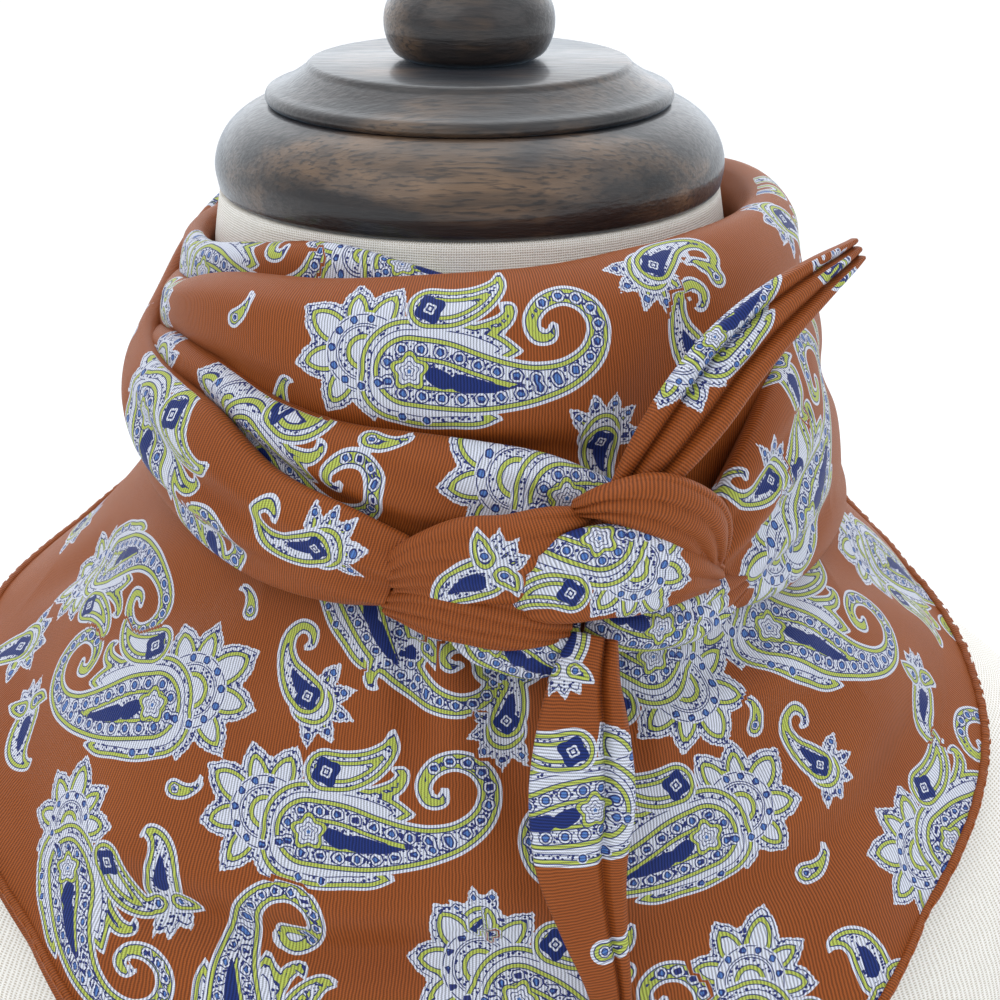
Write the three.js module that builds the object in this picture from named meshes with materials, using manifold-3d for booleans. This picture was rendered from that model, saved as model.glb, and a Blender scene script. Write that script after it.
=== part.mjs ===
// Silk bandana tied round the neck of a small tabletop dress form.
//
// Frame: millimetres, +Z up, the origin on the table under the neck's axis, the front towards -Y.
// Heights of the cloth are given from the seam where the linen neck ends and the wooden cap starts.
// Azimuths are in degrees round the neck's axis: 0 at the front, 90 at +X, 180 at the nape.
import * as THREE from "three";
import { mergeVertices } from "three/addons/utils/BufferGeometryUtils.js";
import Module from "manifold-3d";

const wasm = await Module();
wasm.setup();

// ---------------------------------------------------------------- driving dimensions
const SEAM_HEIGHT = 350; // table to the linen's top edge
const CLOTH = 1.4; // two layers of folded silk twill and the air between them
const GAP = 0.3; // clearance between neighbouring pieces
const CUT_ROOM = 0.55; // room cut round a stretch that crosses another
const FORM_CLEARANCE = 3; // least distance from the linen to the cloth nearest it
const HEM_RADIUS = 1.1; // hand-rolled hem
const PLINTH = { halfWidth: 128, halfDepth: 98, height: 20, bevel: 3 };
const FORM_STEPS = 36; // facets round the linen body
const TURNED_STEPS = 32; // facets round the turned wood

const COLOURS = {
  silk: { color: 0xb05a2c, roughness: 0.5, metalness: 0 },
  hem: { color: 0xa04f26, roughness: 0.55, metalness: 0 },
  linen: { color: 0xe2dbcd, roughness: 0.9, metalness: 0 },
  wood: { color: 0x3b332d, roughness: 0.45, metalness: 0 },
};

// ---------------------------------------------------------------- tables and curves
// A table is a line of column names and one row of numbers for each section, fold or spoke.
function table(columns, rows) {
  const names = columns.split(" ");
  return rows.map((row) => Object.fromEntries(names.map((n, i) => [n, row[i]])));
}

// The row at t, from 0 at the first row to 1 at the last, on a smooth curve through all of them.
function rowAt(rows, t) {
  const place = Math.min(Math.max(t, 0), 1) * (rows.length - 1);
  const i = Math.min(Math.floor(place), rows.length - 2);
  const f = place - i;
  const out = {};
  for (const name of Object.keys(rows[0])) {
    const value = (k) => rows[Math.min(Math.max(k, 0), rows.length - 1)][name];
    const [a, b] = [value(i), value(i + 1)];
    const slopeA = (b - value(i - 1)) / (i > 0 ? 2 : 1);
    const slopeB = (value(i + 2) - a) / (i + 2 < rows.length ? 2 : 1);
    const f2 = f * f;
    const f3 = f2 * f;
    out[name] =
      (2 * f3 - 3 * f2 + 1) * a +
      (f3 - 2 * f2 + f) * slopeA +
      (3 * f2 - 2 * f3) * b +
      (f3 - f2) * slopeB;
  }
  return out;
}

// The row whose key column has the given value, on straight lines between the rows.
function rowFor(rows, key, value) {
  const last = rows.length - 1;
  const at = rows.findIndex((row, k) => k === last || value <= rows[k + 1][key]);
  const i = Math.min(at, last - 1);
  const [a, b] = [rows[i], rows[i + 1]];
  const f = Math.min(Math.max((value - a[key]) / (b[key] - a[key]), 0), 1);
  return Object.fromEntries(Object.keys(a).map((n) => [n, a[n] + f * (b[n] - a[n])]));
}

const steps = (n) => Array.from({ length: n + 1 }, (_, i) => i / n);

function roundNeck(azimuth, radius, height) {
  const a = THREE.MathUtils.degToRad(azimuth);
  return new THREE.Vector3(radius * Math.sin(a), -radius * Math.cos(a), SEAM_HEIGHT + height);
}

// ---------------------------------------------------------------- meshes from rings and grids
function geometryOf(points, triangles) {
  const geometry = new THREE.BufferGeometry();
  geometry.setAttribute(
    "position",
    new THREE.Float32BufferAttribute(points.flatMap((p) => [p.x, p.y, p.z]), 3),
  );
  geometry.setIndex(triangles);
  return geometry;
}

// A solid through closed rings of equal length, with a fan over each end.
function loft(rings) {
  const n = rings[0].length;
  const points = rings.flat();
  const triangles = [];
  for (let i = 0; i + 1 < rings.length; i++)
    for (let j = 0; j < n; j++) {
      const [a, b] = [i * n + j, i * n + ((j + 1) % n)];
      triangles.push(a, b, a + n, b, b + n, a + n);
    }
  for (const [ring, turned] of [[0, true], [rings.length - 1, false]]) {
    const middle = new THREE.Vector3();
    rings[ring].forEach((p) => middle.addScaledVector(p, 1 / n));
    const hub = points.push(middle) - 1;
    for (let j = 0; j < n; j++) {
      const [a, b] = [ring * n + j, ring * n + ((j + 1) % n)];
      triangles.push(...(turned ? [hub, b, a] : [hub, a, b]));
    }
  }
  return facingOut(geometryOf(points, triangles));
}

// A wall of cloth: the grid is its outer face, with its lines to the right and their points
// downwards, and `thickness` is laid behind it.
// `grow` swells the wall on every side, for cutting room for it out of a neighbour.
function wall(grid, thickness, grow = 0) {
  const [rows, columns] = [grid.length, grid[0].length];
  const clamp = (v, n) => Math.min(Math.max(v, 0), n - 1);
  const at = (i, j) => grid[clamp(i, rows)][clamp(j, columns)];
  const normal = (i, j) => {
    const along = at(i + 1, j).clone().sub(at(i - 1, j));
    const across = at(i, j + 1).clone().sub(at(i, j - 1));
    return across.cross(along).normalize();
  };
  const faces = [grow, -thickness - grow];
  const points = [];
  for (const offset of faces)
    for (let i = 0; i < rows; i++)
      for (let j = 0; j < columns; j++) {
        const p = at(i, j).clone().addScaledVector(normal(i, j), offset);
        if (grow && (i === 0 || i === rows - 1)) {
          const outward = at(i, j).clone().sub(at(i === 0 ? 1 : i - 1, j));
          p.addScaledVector(outward.normalize(), grow);
        }
        if (grow && (j === 0 || j === columns - 1)) {
          const outward = at(i, j).clone().sub(at(i, j === 0 ? 1 : j - 1));
          p.addScaledVector(outward.normalize(), grow);
        }
        points.push(p);
      }
  const id = (side, i, j) => side * rows * columns + i * columns + j;
  const triangles = [];
  const quad = (a, b, c, d) => triangles.push(a, b, c, a, c, d);
  for (let i = 0; i + 1 < rows; i++) {
    for (let j = 0; j + 1 < columns; j++) {
      quad(id(0, i, j), id(0, i + 1, j), id(0, i + 1, j + 1), id(0, i, j + 1));
      quad(id(1, i, j), id(1, i, j + 1), id(1, i + 1, j + 1), id(1, i + 1, j));
    }
    const end = columns - 1;
    quad(id(0, i, 0), id(1, i, 0), id(1, i + 1, 0), id(0, i + 1, 0));
    quad(id(0, i, end), id(0, i + 1, end), id(1, i + 1, end), id(1, i, end));
  }
  for (let j = 0; j + 1 < columns; j++) {
    const end = rows - 1;
    quad(id(0, 0, j), id(0, 0, j + 1), id(1, 0, j + 1), id(1, 0, j));
    quad(id(0, end, j), id(1, end, j), id(1, end, j + 1), id(0, end, j + 1));
  }
  return facingOut(geometryOf(points, triangles));
}

function volumeOf(geometry) {
  const p = geometry.getAttribute("position");
  const index = geometry.getIndex().array;
  const [a, b, c] = [new THREE.Vector3(), new THREE.Vector3(), new THREE.Vector3()];
  let six = 0;
  for (let k = 0; k < index.length; k += 3) {
    a.fromBufferAttribute(p, index[k]);
    b.fromBufferAttribute(p, index[k + 1]);
    c.fromBufferAttribute(p, index[k + 2]);
    six += a.dot(b.cross(c));
  }
  return six / 6;
}

function facingOut(geometry) {
  if (volumeOf(geometry) < 0) {
    const index = geometry.getIndex().array;
    for (let k = 0; k < index.length; k += 3)
      [index[k + 1], index[k + 2]] = [index[k + 2], index[k + 1]];
  }
  return geometry;
}

// ---------------------------------------------------------------- cutting room for a neighbour
function solidOf(geometry) {
  const bare = new THREE.BufferGeometry();
  bare.setAttribute("position", geometry.getAttribute("position").clone());
  bare.setIndex(geometry.getIndex());
  const merged = mergeVertices(bare, 1e-3);
  return new wasm.Manifold(
    new wasm.Mesh({
      numProp: 3,
      vertProperties: merged.getAttribute("position").array,
      triVerts: new Uint32Array(merged.getIndex().array),
    }),
  );
}

function geometryFrom(solid) {
  const mesh = solid.getMesh();
  const geometry = new THREE.BufferGeometry();
  geometry.setAttribute(
    "position",
    new THREE.BufferAttribute(Float32Array.from(mesh.vertProperties), 3),
  );
  geometry.setIndex(Array.from(mesh.triVerts));
  return geometry;
}

// What is left of a solid, in one piece, once room is cut for the swollen neighbours.
function clearOf(geometry, neighbours) {
  let solid = solidOf(geometry);
  for (const neighbour of neighbours) solid = solid.subtract(solidOf(neighbour));
  const bodies = solid.decompose().sort((a, b) => b.volume() - a.volume());
  return geometryFrom(bodies[0]);
}

// ---------------------------------------------------------------- the dress form
// Half width and the depths to the front and the back of the linen body at each height.
const BODY = table("height halfWidth front back", [
  [20.3, 110, 88, 76],
  [80, 128, 108, 82],
  [120, 144, 127, 88],
  [150, 155, 132, 92],
  [180, 160, 130, 94],
  [200, 155, 122, 93],
  [215, 145, 113, 91],
  [228, 130, 103, 88],
  [240, 113, 93, 84],
  [250, 98, 84, 80],
  [258, 87, 77, 76],
  [267, 77, 70, 71],
  [276, 70, 66, 67],
  [288, 64.5, 62.5, 63.5],
  [302, 61.5, 60.5, 61],
  [325, 59.5, 59.5, 59.5],
  [SEAM_HEIGHT - 12, 59.2, 59.2, 59.2],
  [SEAM_HEIGHT - GAP, 57.5, 57.5, 57.5],
]);

function ovalRing(row, count) {
  return Array.from({ length: count }, (_, k) => {
    const a = (2 * Math.PI * k) / count;
    const depth = Math.sin(a) > 0 ? row.back : row.front;
    return new THREE.Vector3(row.halfWidth * Math.cos(a), depth * Math.sin(a), row.height);
  });
}

// How far a point lies outside the linen, as a share of the body's size at that height.
function outsideForm(p) {
  const row = rowFor(BODY, "height", p.z);
  return Math.hypot(p.x / row.halfWidth, p.y / (p.y > 0 ? row.back : row.front));
}

// Pushes a point away from the neck's axis and upwards until it clears the linen.
function clearForm(p, clearance) {
  const out = p.clone();
  const push = new THREE.Vector3(p.x, p.y, 0).normalize().add(new THREE.Vector3(0, 0, 0.8));
  push.normalize();
  const inner = (q) => q.clone().addScaledVector(push, -clearance);
  for (let k = 0; k < 200 && outsideForm(inner(out)) < 1; k++) out.addScaledVector(push, 0.25);
  return out;
}

function plinthGeometry() {
  const { halfWidth, halfDepth, height, bevel } = PLINTH;
  const level = (z, inset) =>
    Array.from({ length: FORM_STEPS }, (_, k) => {
      const a = (2 * Math.PI * k) / FORM_STEPS;
      return new THREE.Vector3((halfWidth - inset) * Math.cos(a), (halfDepth - inset) * Math.sin(a), z);
    });
  return loft([level(0, bevel), level(bevel, 0), level(height - bevel, 0), level(height, bevel)]);
}

const turned = (profile) =>
  new THREE.LatheGeometry(profile.map(([r, z]) => new THREE.Vector2(r, z)), TURNED_STEPS)
    .rotateX(Math.PI / 2)
    .translate(0, 0, SEAM_HEIGHT);

// Profiles are radius and height from the seam, from the axis out and back to the axis.
const CAP_PROFILE = [
  [0, 0], [56.6, 0], [57.9, 2.2], [58.3, 5.4], [57.6, 9], [55.6, 12.8], [52, 16.2], [47.2, 18.7], [0, 18.7],
];
const STEP_PROFILE = [
  [0, 19], [45.7, 19], [46.4, 20], [46, 21.4], [43.4, 22.6], [40.4, 24.2], [38, 25.8], [36.9, 26.6],
  [36.6, 27.2], [35.6, 27.7], [0, 27.7],
];
const FINIAL_PROFILE = [
  [0, 28], [14.5, 28], [16.8, 29.2], [18.5, 32], [19.3, 36], [18.6, 40], [16, 43.6], [11, 46], [5, 47.1], [0, 47.4],
];

// ---------------------------------------------------------------- wound stretches of the bandana
// A wound stretch runs round the neck. Each row is one section: the azimuth, radius and height of
// its top edge and of its lower edge, how far it bulges between them, the radius of the rolled top
// edge, how far the cloth goes down again inside it, and how far the lower edge tucks in.
const WOUND = "azTop rTop top azLow rLow low bulge roll inside tuck";

const FRONT_BAND = table(WOUND, [
  [-94, 66, -20, -92, 67, -40, 2, 2.1, 6, 3],
  [-72, 70, -16, -70, 71.5, -34, 3, 2.4, 8, 3],
  [-58, 74, -13, -54, 77, -25, 3, 3.2, 9, 3],
  [-44, 75.5, -8, -40, 81, -29, 5, 3.6, 11, 4],
  [-26, 77, -5, -24, 84, -32, 7, 4.6, 13, 5],
  [-6, 78, -2.2, -6, 86, -34, 8, 5.4, 15, 6],
  [12, 78, -0.8, 12, 88, -37, 9, 5.8, 17, 6],
  [28, 77.5, 1, 30, 87, -42, 8, 6, 18, 6],
  [44, 76, 1.6, 47, 83, -46, 7, 6, 18, 6],
  [64, 73.5, 1.2, 67, 78, -48, 5, 5.4, 16, 5],
  [88, 71.5, 0.4, 90, 75, -48, 4, 4.6, 14, 4],
  [110, 70.5, -0.6, 112, 74, -46, 4, 3.8, 12, 4],
  [134, 70, -3, 134, 73, -44, 3, 3, 10, 3],
]);

const INNER_ROLL = table(WOUND, [
  [-128, 64.4, -10, -128, 65.4, -26, 0.6, 2.1, 5, 1],
  [-96, 64.6, -9, -96, 66, -24, 0.8, 2.1, 5, 1],
  [-66, 66, -7, -66, 69, -23, 1.2, 2.4, 6, 2],
  [-46, 66, -3, -46, 69, -21, 1.6, 2.6, 7, 2],
  [-27, 65.5, 0, -27, 68.5, -19, 1.8, 2.6, 7, 2],
  [-11, 65, -3.2, -12, 68, -19, 1.6, 2.4, 7, 2],
  [8, 65, -9, 4, 67.5, -22, 1.2, 2.1, 6, 2],
  [26, 64.6, -13, 22, 67, -25, 0.8, 2.1, 5, 1],
]);

const LEFT_FOLD = table(WOUND, [
  [-84, 71.5, -30, -82, 72, -44, 1.5, 2.1, 5, 2],
  [-66, 76.5, -25, -66, 77, -38, 2, 2.6, 6, 3],
  [-50, 82, -21, -46, 84, -31, 2.5, 3, 7, 3],
  [-37, 86.5, -22, -35, 87.5, -36, 3, 3.4, 7, 4],
  [-26, 90.5, -26, -25, 91, -43, 4, 3.8, 7, 4],
  [-15, 94, -28, -17, 93, -49, 4.5, 4, 7, 5],
  [-3, 97, -29, -7, 96, -52, 5, 4, 7, 5],
  [8, 99, -32, 4, 98, -52, 4.5, 3.8, 7, 5],
  [17, 100, -39, 13, 100, -53, 3, 3, 6, 4],
]);

const LEFT_WRAP = table(WOUND, [
  [-214, 73.5, -6, -214, 75, -44, 3, 2.4, 8, 3],
  [-190, 72.5, -4, -190, 75.5, -46, 3.6, 3, 10, 3],
  [-165, 71, -3, -165, 74.5, -50, 3.4, 3, 10, 3],
  [-140, 69.5, -4, -140, 73, -55, 2.8, 2.8, 10, 3],
  [-116, 68.2, -8, -116, 71.5, -59, 2.2, 2.4, 9, 3],
  [-96, 69, -14, -94, 72.5, -61, 1.8, 2.2, 8, 3],
  [-80, 73, -20, -76, 75.5, -61, 2, 2.4, 7, 3],
  [-64, 81, -24, -60, 81.5, -58, 3.4, 2.8, 7, 4],
  [-49, 89, -25, -47, 87.5, -57, 5, 3.4, 7, 4],
  [-35, 95, -28, -35, 93, -60, 6, 3.6, 7, 5],
  [-24, 99.5, -37, -26, 97, -62, 5, 3.6, 7, 5],
  [-14, 102.5, -42, -17, 99.5, -63, 4, 3.2, 7, 5],
  [-7, 103.5, -47, -10, 101, -62, 3, 3, 6, 4],
]);

const RIGHT_WRAP = table(WOUND, [
  [28, 100, -48, 29, 100, -69, 4, 3, 6, 4],
  [35, 97, -37, 36, 98, -72, 5, 3.4, 7, 5],
  [44, 91.5, -28, 46, 95, -73, 5, 3.6, 7, 5],
  [55, 84.5, -22, 58, 92, -73, 4, 3.2, 7, 5],
  [70, 78.5, -18, 72, 90, -72, 3, 2.8, 7, 5],
  [88, 75.8, -16, 88, 88, -71, 2.4, 2.6, 7, 4],
  [108, 74.2, -20, 108, 85, -70, 2.4, 2.4, 6, 4],
  [130, 73.4, -26, 130, 81, -70, 2.6, 2.4, 6, 3],
  [154, 71.5, -33, 154, 79, -71, 2.6, 2.4, 5, 2],
  [180, 70.5, -35, 180, 78.5, -71, 2.6, 2.4, 5, 2],
  [206, 70, -33, 206, 77, -68, 2.4, 2.4, 5, 2],
  [232, 69, -30, 232, 75, -63, 2, 2.4, 5, 2],
]);

// One section, as points from the inside of the rolled edge, over it and down to the tucked edge.
function woundSection(row) {
  const { azTop, rTop, top, azLow, rLow, low, bulge, roll, inside, tuck } = row;
  const fall = Math.hypot(top - low, rTop - rLow);
  const outR = (top - low) / fall;
  const outZ = -(rTop - rLow) / fall;
  const between = (f, out) => [
    azTop + (azLow - azTop) * f,
    rTop + (rLow - rTop) * f + out * outR,
    top + (low - top) * f + out * outZ,
  ];
  return [
    [azTop, rTop - 2 * roll, top - roll - inside],
    [azTop, rTop - 2 * roll, top - roll],
    [azTop, rTop - 1.5 * roll, top - 0.25 * roll],
    [azTop, rTop - 0.8 * roll, top],
    between(0.12, 0.55 * bulge),
    between(0.32, 0.92 * bulge),
    between(0.56, bulge),
    between(0.8, 0.7 * bulge),
    [azLow, rLow, low],
    [azLow, rLow - 0.7 * tuck, low - 0.1 * tuck],
    [azLow, rLow - 1.2 * tuck, low + 0.5 * tuck],
  ].map((p) => roundNeck(...p));
}

const woundGrid = (rows, count) => steps(count).map((t) => woundSection(rowAt(rows, t)));

// ---------------------------------------------------------------- the bib over the chest
// A spoke runs from under the wraps to the hem: azimuth, radius and height of its start, then the
// place of its middle and of its hem, with heights from the seam.
const BIB = table("az r top xMid yMid mid xHem yHem hem", [
  [-132, 72, -56, -62, 58, -68, -72, 62, -80],
  [-108, 72.5, -58, -86, 30, -80, -100, 36, -96],
  [-84, 74, -60, -96, -6, -86, -119, 0, -106],
  [-64, 78, -60, -93, -42, -92, -116, -36, -116],
  [-48, 83, -59, -86, -72, -100, -108, -66, -128],
  [-34, 87, -60, -70, -96, -108, -82, -112, -146],
  [-20, 90, -62, -44, -111, -118, -44, -126, -186],
  [-4, 93, -64, -6, -117, -124, 5, -134, -228],
  [12, 93, -66, 34, -112, -120, 48, -126, -186],
  [28, 92, -68, 66, -98, -110, 84, -112, -146],
  [44, 90, -70, 88, -74, -102, 108, -66, -128],
  [62, 86, -70, 98, -44, -94, 116, -36, -114],
  [84, 80, -68, 100, -8, -88, 111, 0, -102],
  [108, 76, -66, 86, 30, -80, 97, 34, -92],
  [132, 74, -62, 64, 56, -68, 74, 60, -80],
]);

function bibSpoke(row, count, reach, drop) {
  const start = roundNeck(row.az, row.r, row.top);
  const middle = new THREE.Vector3(row.xMid, row.yMid, SEAM_HEIGHT + row.mid);
  const hem = new THREE.Vector3(row.xHem, row.yHem, SEAM_HEIGHT + row.hem);
  const line = new THREE.QuadraticBezierCurve3(
    start,
    middle.clone().multiplyScalar(2).addScaledVector(start, -0.5).addScaledVector(hem, -0.5),
    hem,
  );
  return steps(count).map((f) => {
    const p = line.getPoint(reach[0] + (reach[1] - reach[0]) * f);
    p.z -= drop;
    return clearForm(p, FORM_CLEARANCE + CLOTH + (drop ? 1 : CLOTH + GAP));
  });
}

const bibGrid = (along, across) =>
  steps(along).map((t) => bibSpoke(rowAt(BIB, t), across, [0, 1], 0));

// The under layer shows only past the left front hem.
const UNDER = { from: 0.16, to: 0.47, reach: [0.8, 1.06], drop: 0.6 };
const underGrid = (along, across) =>
  steps(along).map((f) =>
    bibSpoke(rowAt(BIB, UNDER.from + (UNDER.to - UNDER.from) * f), across, UNDER.reach, UNDER.drop),
  );

// ---------------------------------------------------------------- cords of cloth: hems and the knot
// A round or flattened roll through `rows`, each with a place, a width across and a thickness.
function roll(rows, count, sides, grow = 0) {
  const places = steps(count).map((t) => rowAt(rows, t));
  const points = places.map((row) => new THREE.Vector3(row.x, row.y, row.z));
  return loft(
    places.map((row, i) => {
      const before = points[Math.max(i - 1, 0)];
      const after = points[Math.min(i + 1, count)];
      const tangent = after.clone().sub(before).normalize();
      const out = new THREE.Vector3(points[i].x, points[i].y, 0).normalize();
      const across = tangent.clone().cross(out).normalize();
      out.copy(across).cross(tangent);
      const end = i === 0 ? -grow : i === count ? grow : 0;
      return Array.from({ length: sides }, (_, k) => {
        const a = (2 * Math.PI * k) / sides;
        return points[i]
          .clone()
          .addScaledVector(tangent, end)
          .addScaledVector(across, (row.wide / 2 + grow) * Math.cos(a))
          .addScaledVector(out, (row.thick / 2 + grow) * Math.sin(a));
      });
    }),
  );
}

const knotPath = (rows) =>
  rows.map(({ az, r, height, wide, thick }) => {
    const p = roundNeck(az, r, height);
    return { x: p.x, y: p.y, z: p.z, wide, thick };
  });

// Folded layers of the square knot, each one rounded solid.
const KNOT = "az r height wide thick";
const KNOT_PARTS = {
  knot_top: table(KNOT, [
    [10.5, 106, -39, 3, 3.5],
    [13.5, 110, -37, 8, 7],
    [18, 112, -38, 13, 8],
    [22.5, 111, -43, 14, 8],
    [25.5, 107, -51, 9, 7],
    [26.5, 103, -57, 4, 4],
  ]),
  knot_front: table(KNOT, [
    [3.5, 104, -58, 4, 4],
    [6.5, 109, -55, 13, 8],
    [11, 111.5, -51, 19, 9],
    [16, 112, -50, 19, 9],
    [21.5, 110, -53, 14, 8],
    [27, 105, -58, 6, 5],
  ]),
  knot_main: table(KNOT, [
    [-8.5, 103, -53, 7, 5],
    [-5, 105, -50, 12, 7],
    [0, 107, -47.5, 15, 8],
    [5, 108, -46, 15, 8],
    [10, 107, -44, 12, 6],
    [14, 104, -42, 7, 4],
  ]),
  knot_left: table(KNOT, [
    [-9.5, 102.5, -61, 3, 3],
    [-5, 105, -60.5, 8, 6],
    [0, 106.5, -61, 10, 7],
    [5.5, 107, -62.5, 9, 6],
    [10, 106, -63.5, 6, 5],
  ]),
  knot_lower: table(KNOT, [
    [-3, 102, -65, 4, 3],
    [1.5, 104, -68, 9, 5],
    [6.5, 105.5, -69.5, 10, 6],
    [11.5, 106, -67, 8, 6],
  ]),
  knot_right: table(KNOT, [
    [33, 100.5, -64, 5, 4],
    [28, 103, -65, 11, 6],
    [22, 104.5, -66, 13, 7],
    [16, 105, -65.5, 10, 6],
    [12, 104, -64, 6, 5],
  ]),
};

// ---------------------------------------------------------------- the two tails
// A tail is a folded leaf: place, the way across it (from its left edge to its right), its width
// and its depth over its folded layers. LEAF is its section, as shares of the half width and of the
// half depth: pleats over the upper face (face 1), then back under it (face -1).
const TAIL = "az r height tiltX tiltZ wide depth";
const LEAF = table("side rise face", [
  [-1, -0.4, 1],
  [-0.86, 0.5, 1],
  [-0.62, 0.85, 1],
  [-0.34, 0, 1],
  [-0.1, 0.7, 1],
  [0.12, 1, 1],
  [0.36, 0.1, 1],
  [0.62, 0.8, 1],
  [0.86, 0.5, 1],
  [1, -0.4, 1],
  [0.7, -1, -1],
  [0, -1, -1],
  [-0.7, -1, -1],
]);

const TAIL_UP = table(TAIL, [
  [15.5, 107.5, -38, 0.95, 0.3, 8, 3],
  [19, 107.5, -30, 0.9, 0.42, 12.5, 4],
  [23.5, 106, -21.5, 0.84, 0.54, 15, 4.4],
  [28.5, 104.4, -13.5, 0.78, 0.62, 14.5, 4.2],
  [34.5, 103, -7.4, 0.7, 0.72, 12.5, 3.6],
  [42, 102, -2.6, 0.62, 0.78, 9, 3],
  [50, 101, 0.2, 0.5, 0.86, 5.2, 2.6],
]);

const TAIL_DOWN = table(TAIL, [
  [12.2, 135, -151, 1, 0.1, 4.4, 2.4],
  [12, 133, -140, 1, 0.08, 6.4, 2.6],
  [11.4, 130.6, -129, 1, 0.05, 9.4, 2.8],
  [10.4, 127.4, -118, 1, 0.02, 13.5, 3],
  [9.6, 124, -106, 1, 0, 18, 3.2],
  [9.9, 121, -94, 1, 0, 20.5, 3.6],
  [10.3, 117.5, -83, 1, 0, 18.5, 4.4],
  [11, 113, -73, 1, 0.02, 14, 4.6],
  [12.5, 109, -65, 1, 0.05, 9, 4],
]);

function leaf(rows, count, grow) {
  const places = steps(count).map((t) => rowAt(rows, t));
  const points = places.map((row) => roundNeck(row.az, row.r, row.height));
  return loft(
    places.map((row, i) => {
      const before = points[Math.max(i - 1, 0)];
      const after = points[Math.min(i + 1, count)];
      const tangent = after.clone().sub(before).normalize();
      const side = new THREE.Vector3(row.tiltX, 0, -row.tiltZ);
      side.addScaledVector(tangent, -side.dot(tangent)).normalize();
      const out = side.clone().cross(tangent);
      const end = i === 0 ? -grow : i === count ? grow : 0;
      return LEAF.map((p) =>
        points[i]
          .clone()
          .addScaledVector(tangent, end)
          .addScaledVector(side, p.side * (row.wide / 2 + grow))
          .addScaledVector(out, (p.rise * row.depth) / 2 + p.face * grow),
      );
    }),
  );
}

// ---------------------------------------------------------------- hems
// The hem follows the bib's lowest grid line, just past its edge.
function hemPath(grid, from, to) {
  const last = grid[0].length - 1;
  return grid.slice(from, to + 1).map((line) => {
    const p = line[last].clone();
    const past = p.clone().sub(line[last - 1]).normalize();
    p.addScaledVector(past, HEM_RADIUS + GAP);
    return { x: p.x, y: p.y, z: p.z, wide: 2 * HEM_RADIUS, thick: 2 * HEM_RADIUS };
  });
}

// The end of a hem that meets the other one at the bib's corner stops short of it.
function pulledBack(p, i, all, corner) {
  if (i !== corner) return p;
  const next = all[corner === 0 ? 1 : corner - 1];
  const share = 0.2;
  const part = (name) => p[name] + (next[name] - p[name]) * share;
  return { ...p, x: part("x"), y: part("y"), z: part("z") };
}

// ---------------------------------------------------------------- the assembly
const group = new THREE.Group();
group.name = "bandana_on_dress_form";

function add(name, geometry, look) {
  const mesh = new THREE.Mesh(geometry, new THREE.MeshStandardMaterial(COLOURS[look]));
  mesh.name = name;
  group.add(mesh);
  return mesh;
}

add("plinth", plinthGeometry(), "wood");
add("linen_body", loft(BODY.map((row) => ovalRing(row, FORM_STEPS))), "linen");
add("neck_cap", turned(CAP_PROFILE), "wood");
add("cap_step", turned(STEP_PROFILE), "wood");
add("finial", turned(FINIAL_PROFILE), "wood");

// Every stretch as [name, its outer face, sections], in the order of whose shape rules: an earlier
// one stays whole, and room for it is cut from the later ones.
const knots = Object.entries(KNOT_PARTS).map(([name, rows]) => ({
  name,
  make: (grow) => roll(knotPath(rows), 7, 10, grow),
}));
const bibLines = bibGrid(26, 6);
const cutSheet = ([name, grid]) => ({ name, make: (grow) => wall(grid, CLOTH, grow) });
const tails = [
  { name: "tail_up", make: (grow) => leaf(TAIL_UP, 10, grow) },
  { name: "tail_down", make: (grow) => leaf(TAIL_DOWN, 12, grow) },
];
const sheets = [
  ["left_wrap", woundGrid(LEFT_WRAP, 18)],
  ["right_wrap", woundGrid(RIGHT_WRAP, 16)],
  ["left_fold", woundGrid(LEFT_FOLD, 10)],
  ["front_band", woundGrid(FRONT_BAND, 16)],
  ["inner_roll", woundGrid(INNER_ROLL, 11)],
  ["bib", bibLines],
];

const apex = (bibLines.length - 1) / 2;
const hems = [
  ["hem_left", hemPath(bibLines, 0, apex).map((p, i, all) => pulledBack(p, i, all, apex))],
  ["hem_right", hemPath(bibLines, apex, 2 * apex).map((p, i, all) => pulledBack(p, i, all, 0))],
].map(([name, rows]) => ({ name, make: (grow) => roll(rows, rows.length - 1, 6, grow) }));
const underLayer = cutSheet(["bib_under", underGrid(10, 3)]);
const cloth = [...knots, ...tails, ...sheets.map(cutSheet), ...hems, underLayer];
cloth.forEach(({ name, make }, i) => {
  const ahead = cloth.slice(0, i).map((piece) => piece.make(CUT_ROOM));
  add(name, clearOf(make(0), ahead), "silk");
});

export default group;
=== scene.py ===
"""Looks of a paisley silk bandana knotted round the neck of a tabletop dress form.

The cloth is rebuilt, stretch by stretch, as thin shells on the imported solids. Lengths in the tables
are millimetres, heights are measured from the seam between the linen neck and the wooden cap, and
azimuths are degrees round the neck: 0 at the front, 90 at +X, 180 at the nape.
"""

import logging
import math
from dataclasses import dataclass
from enum import Enum
from typing import Optional, Sequence, Union

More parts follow.
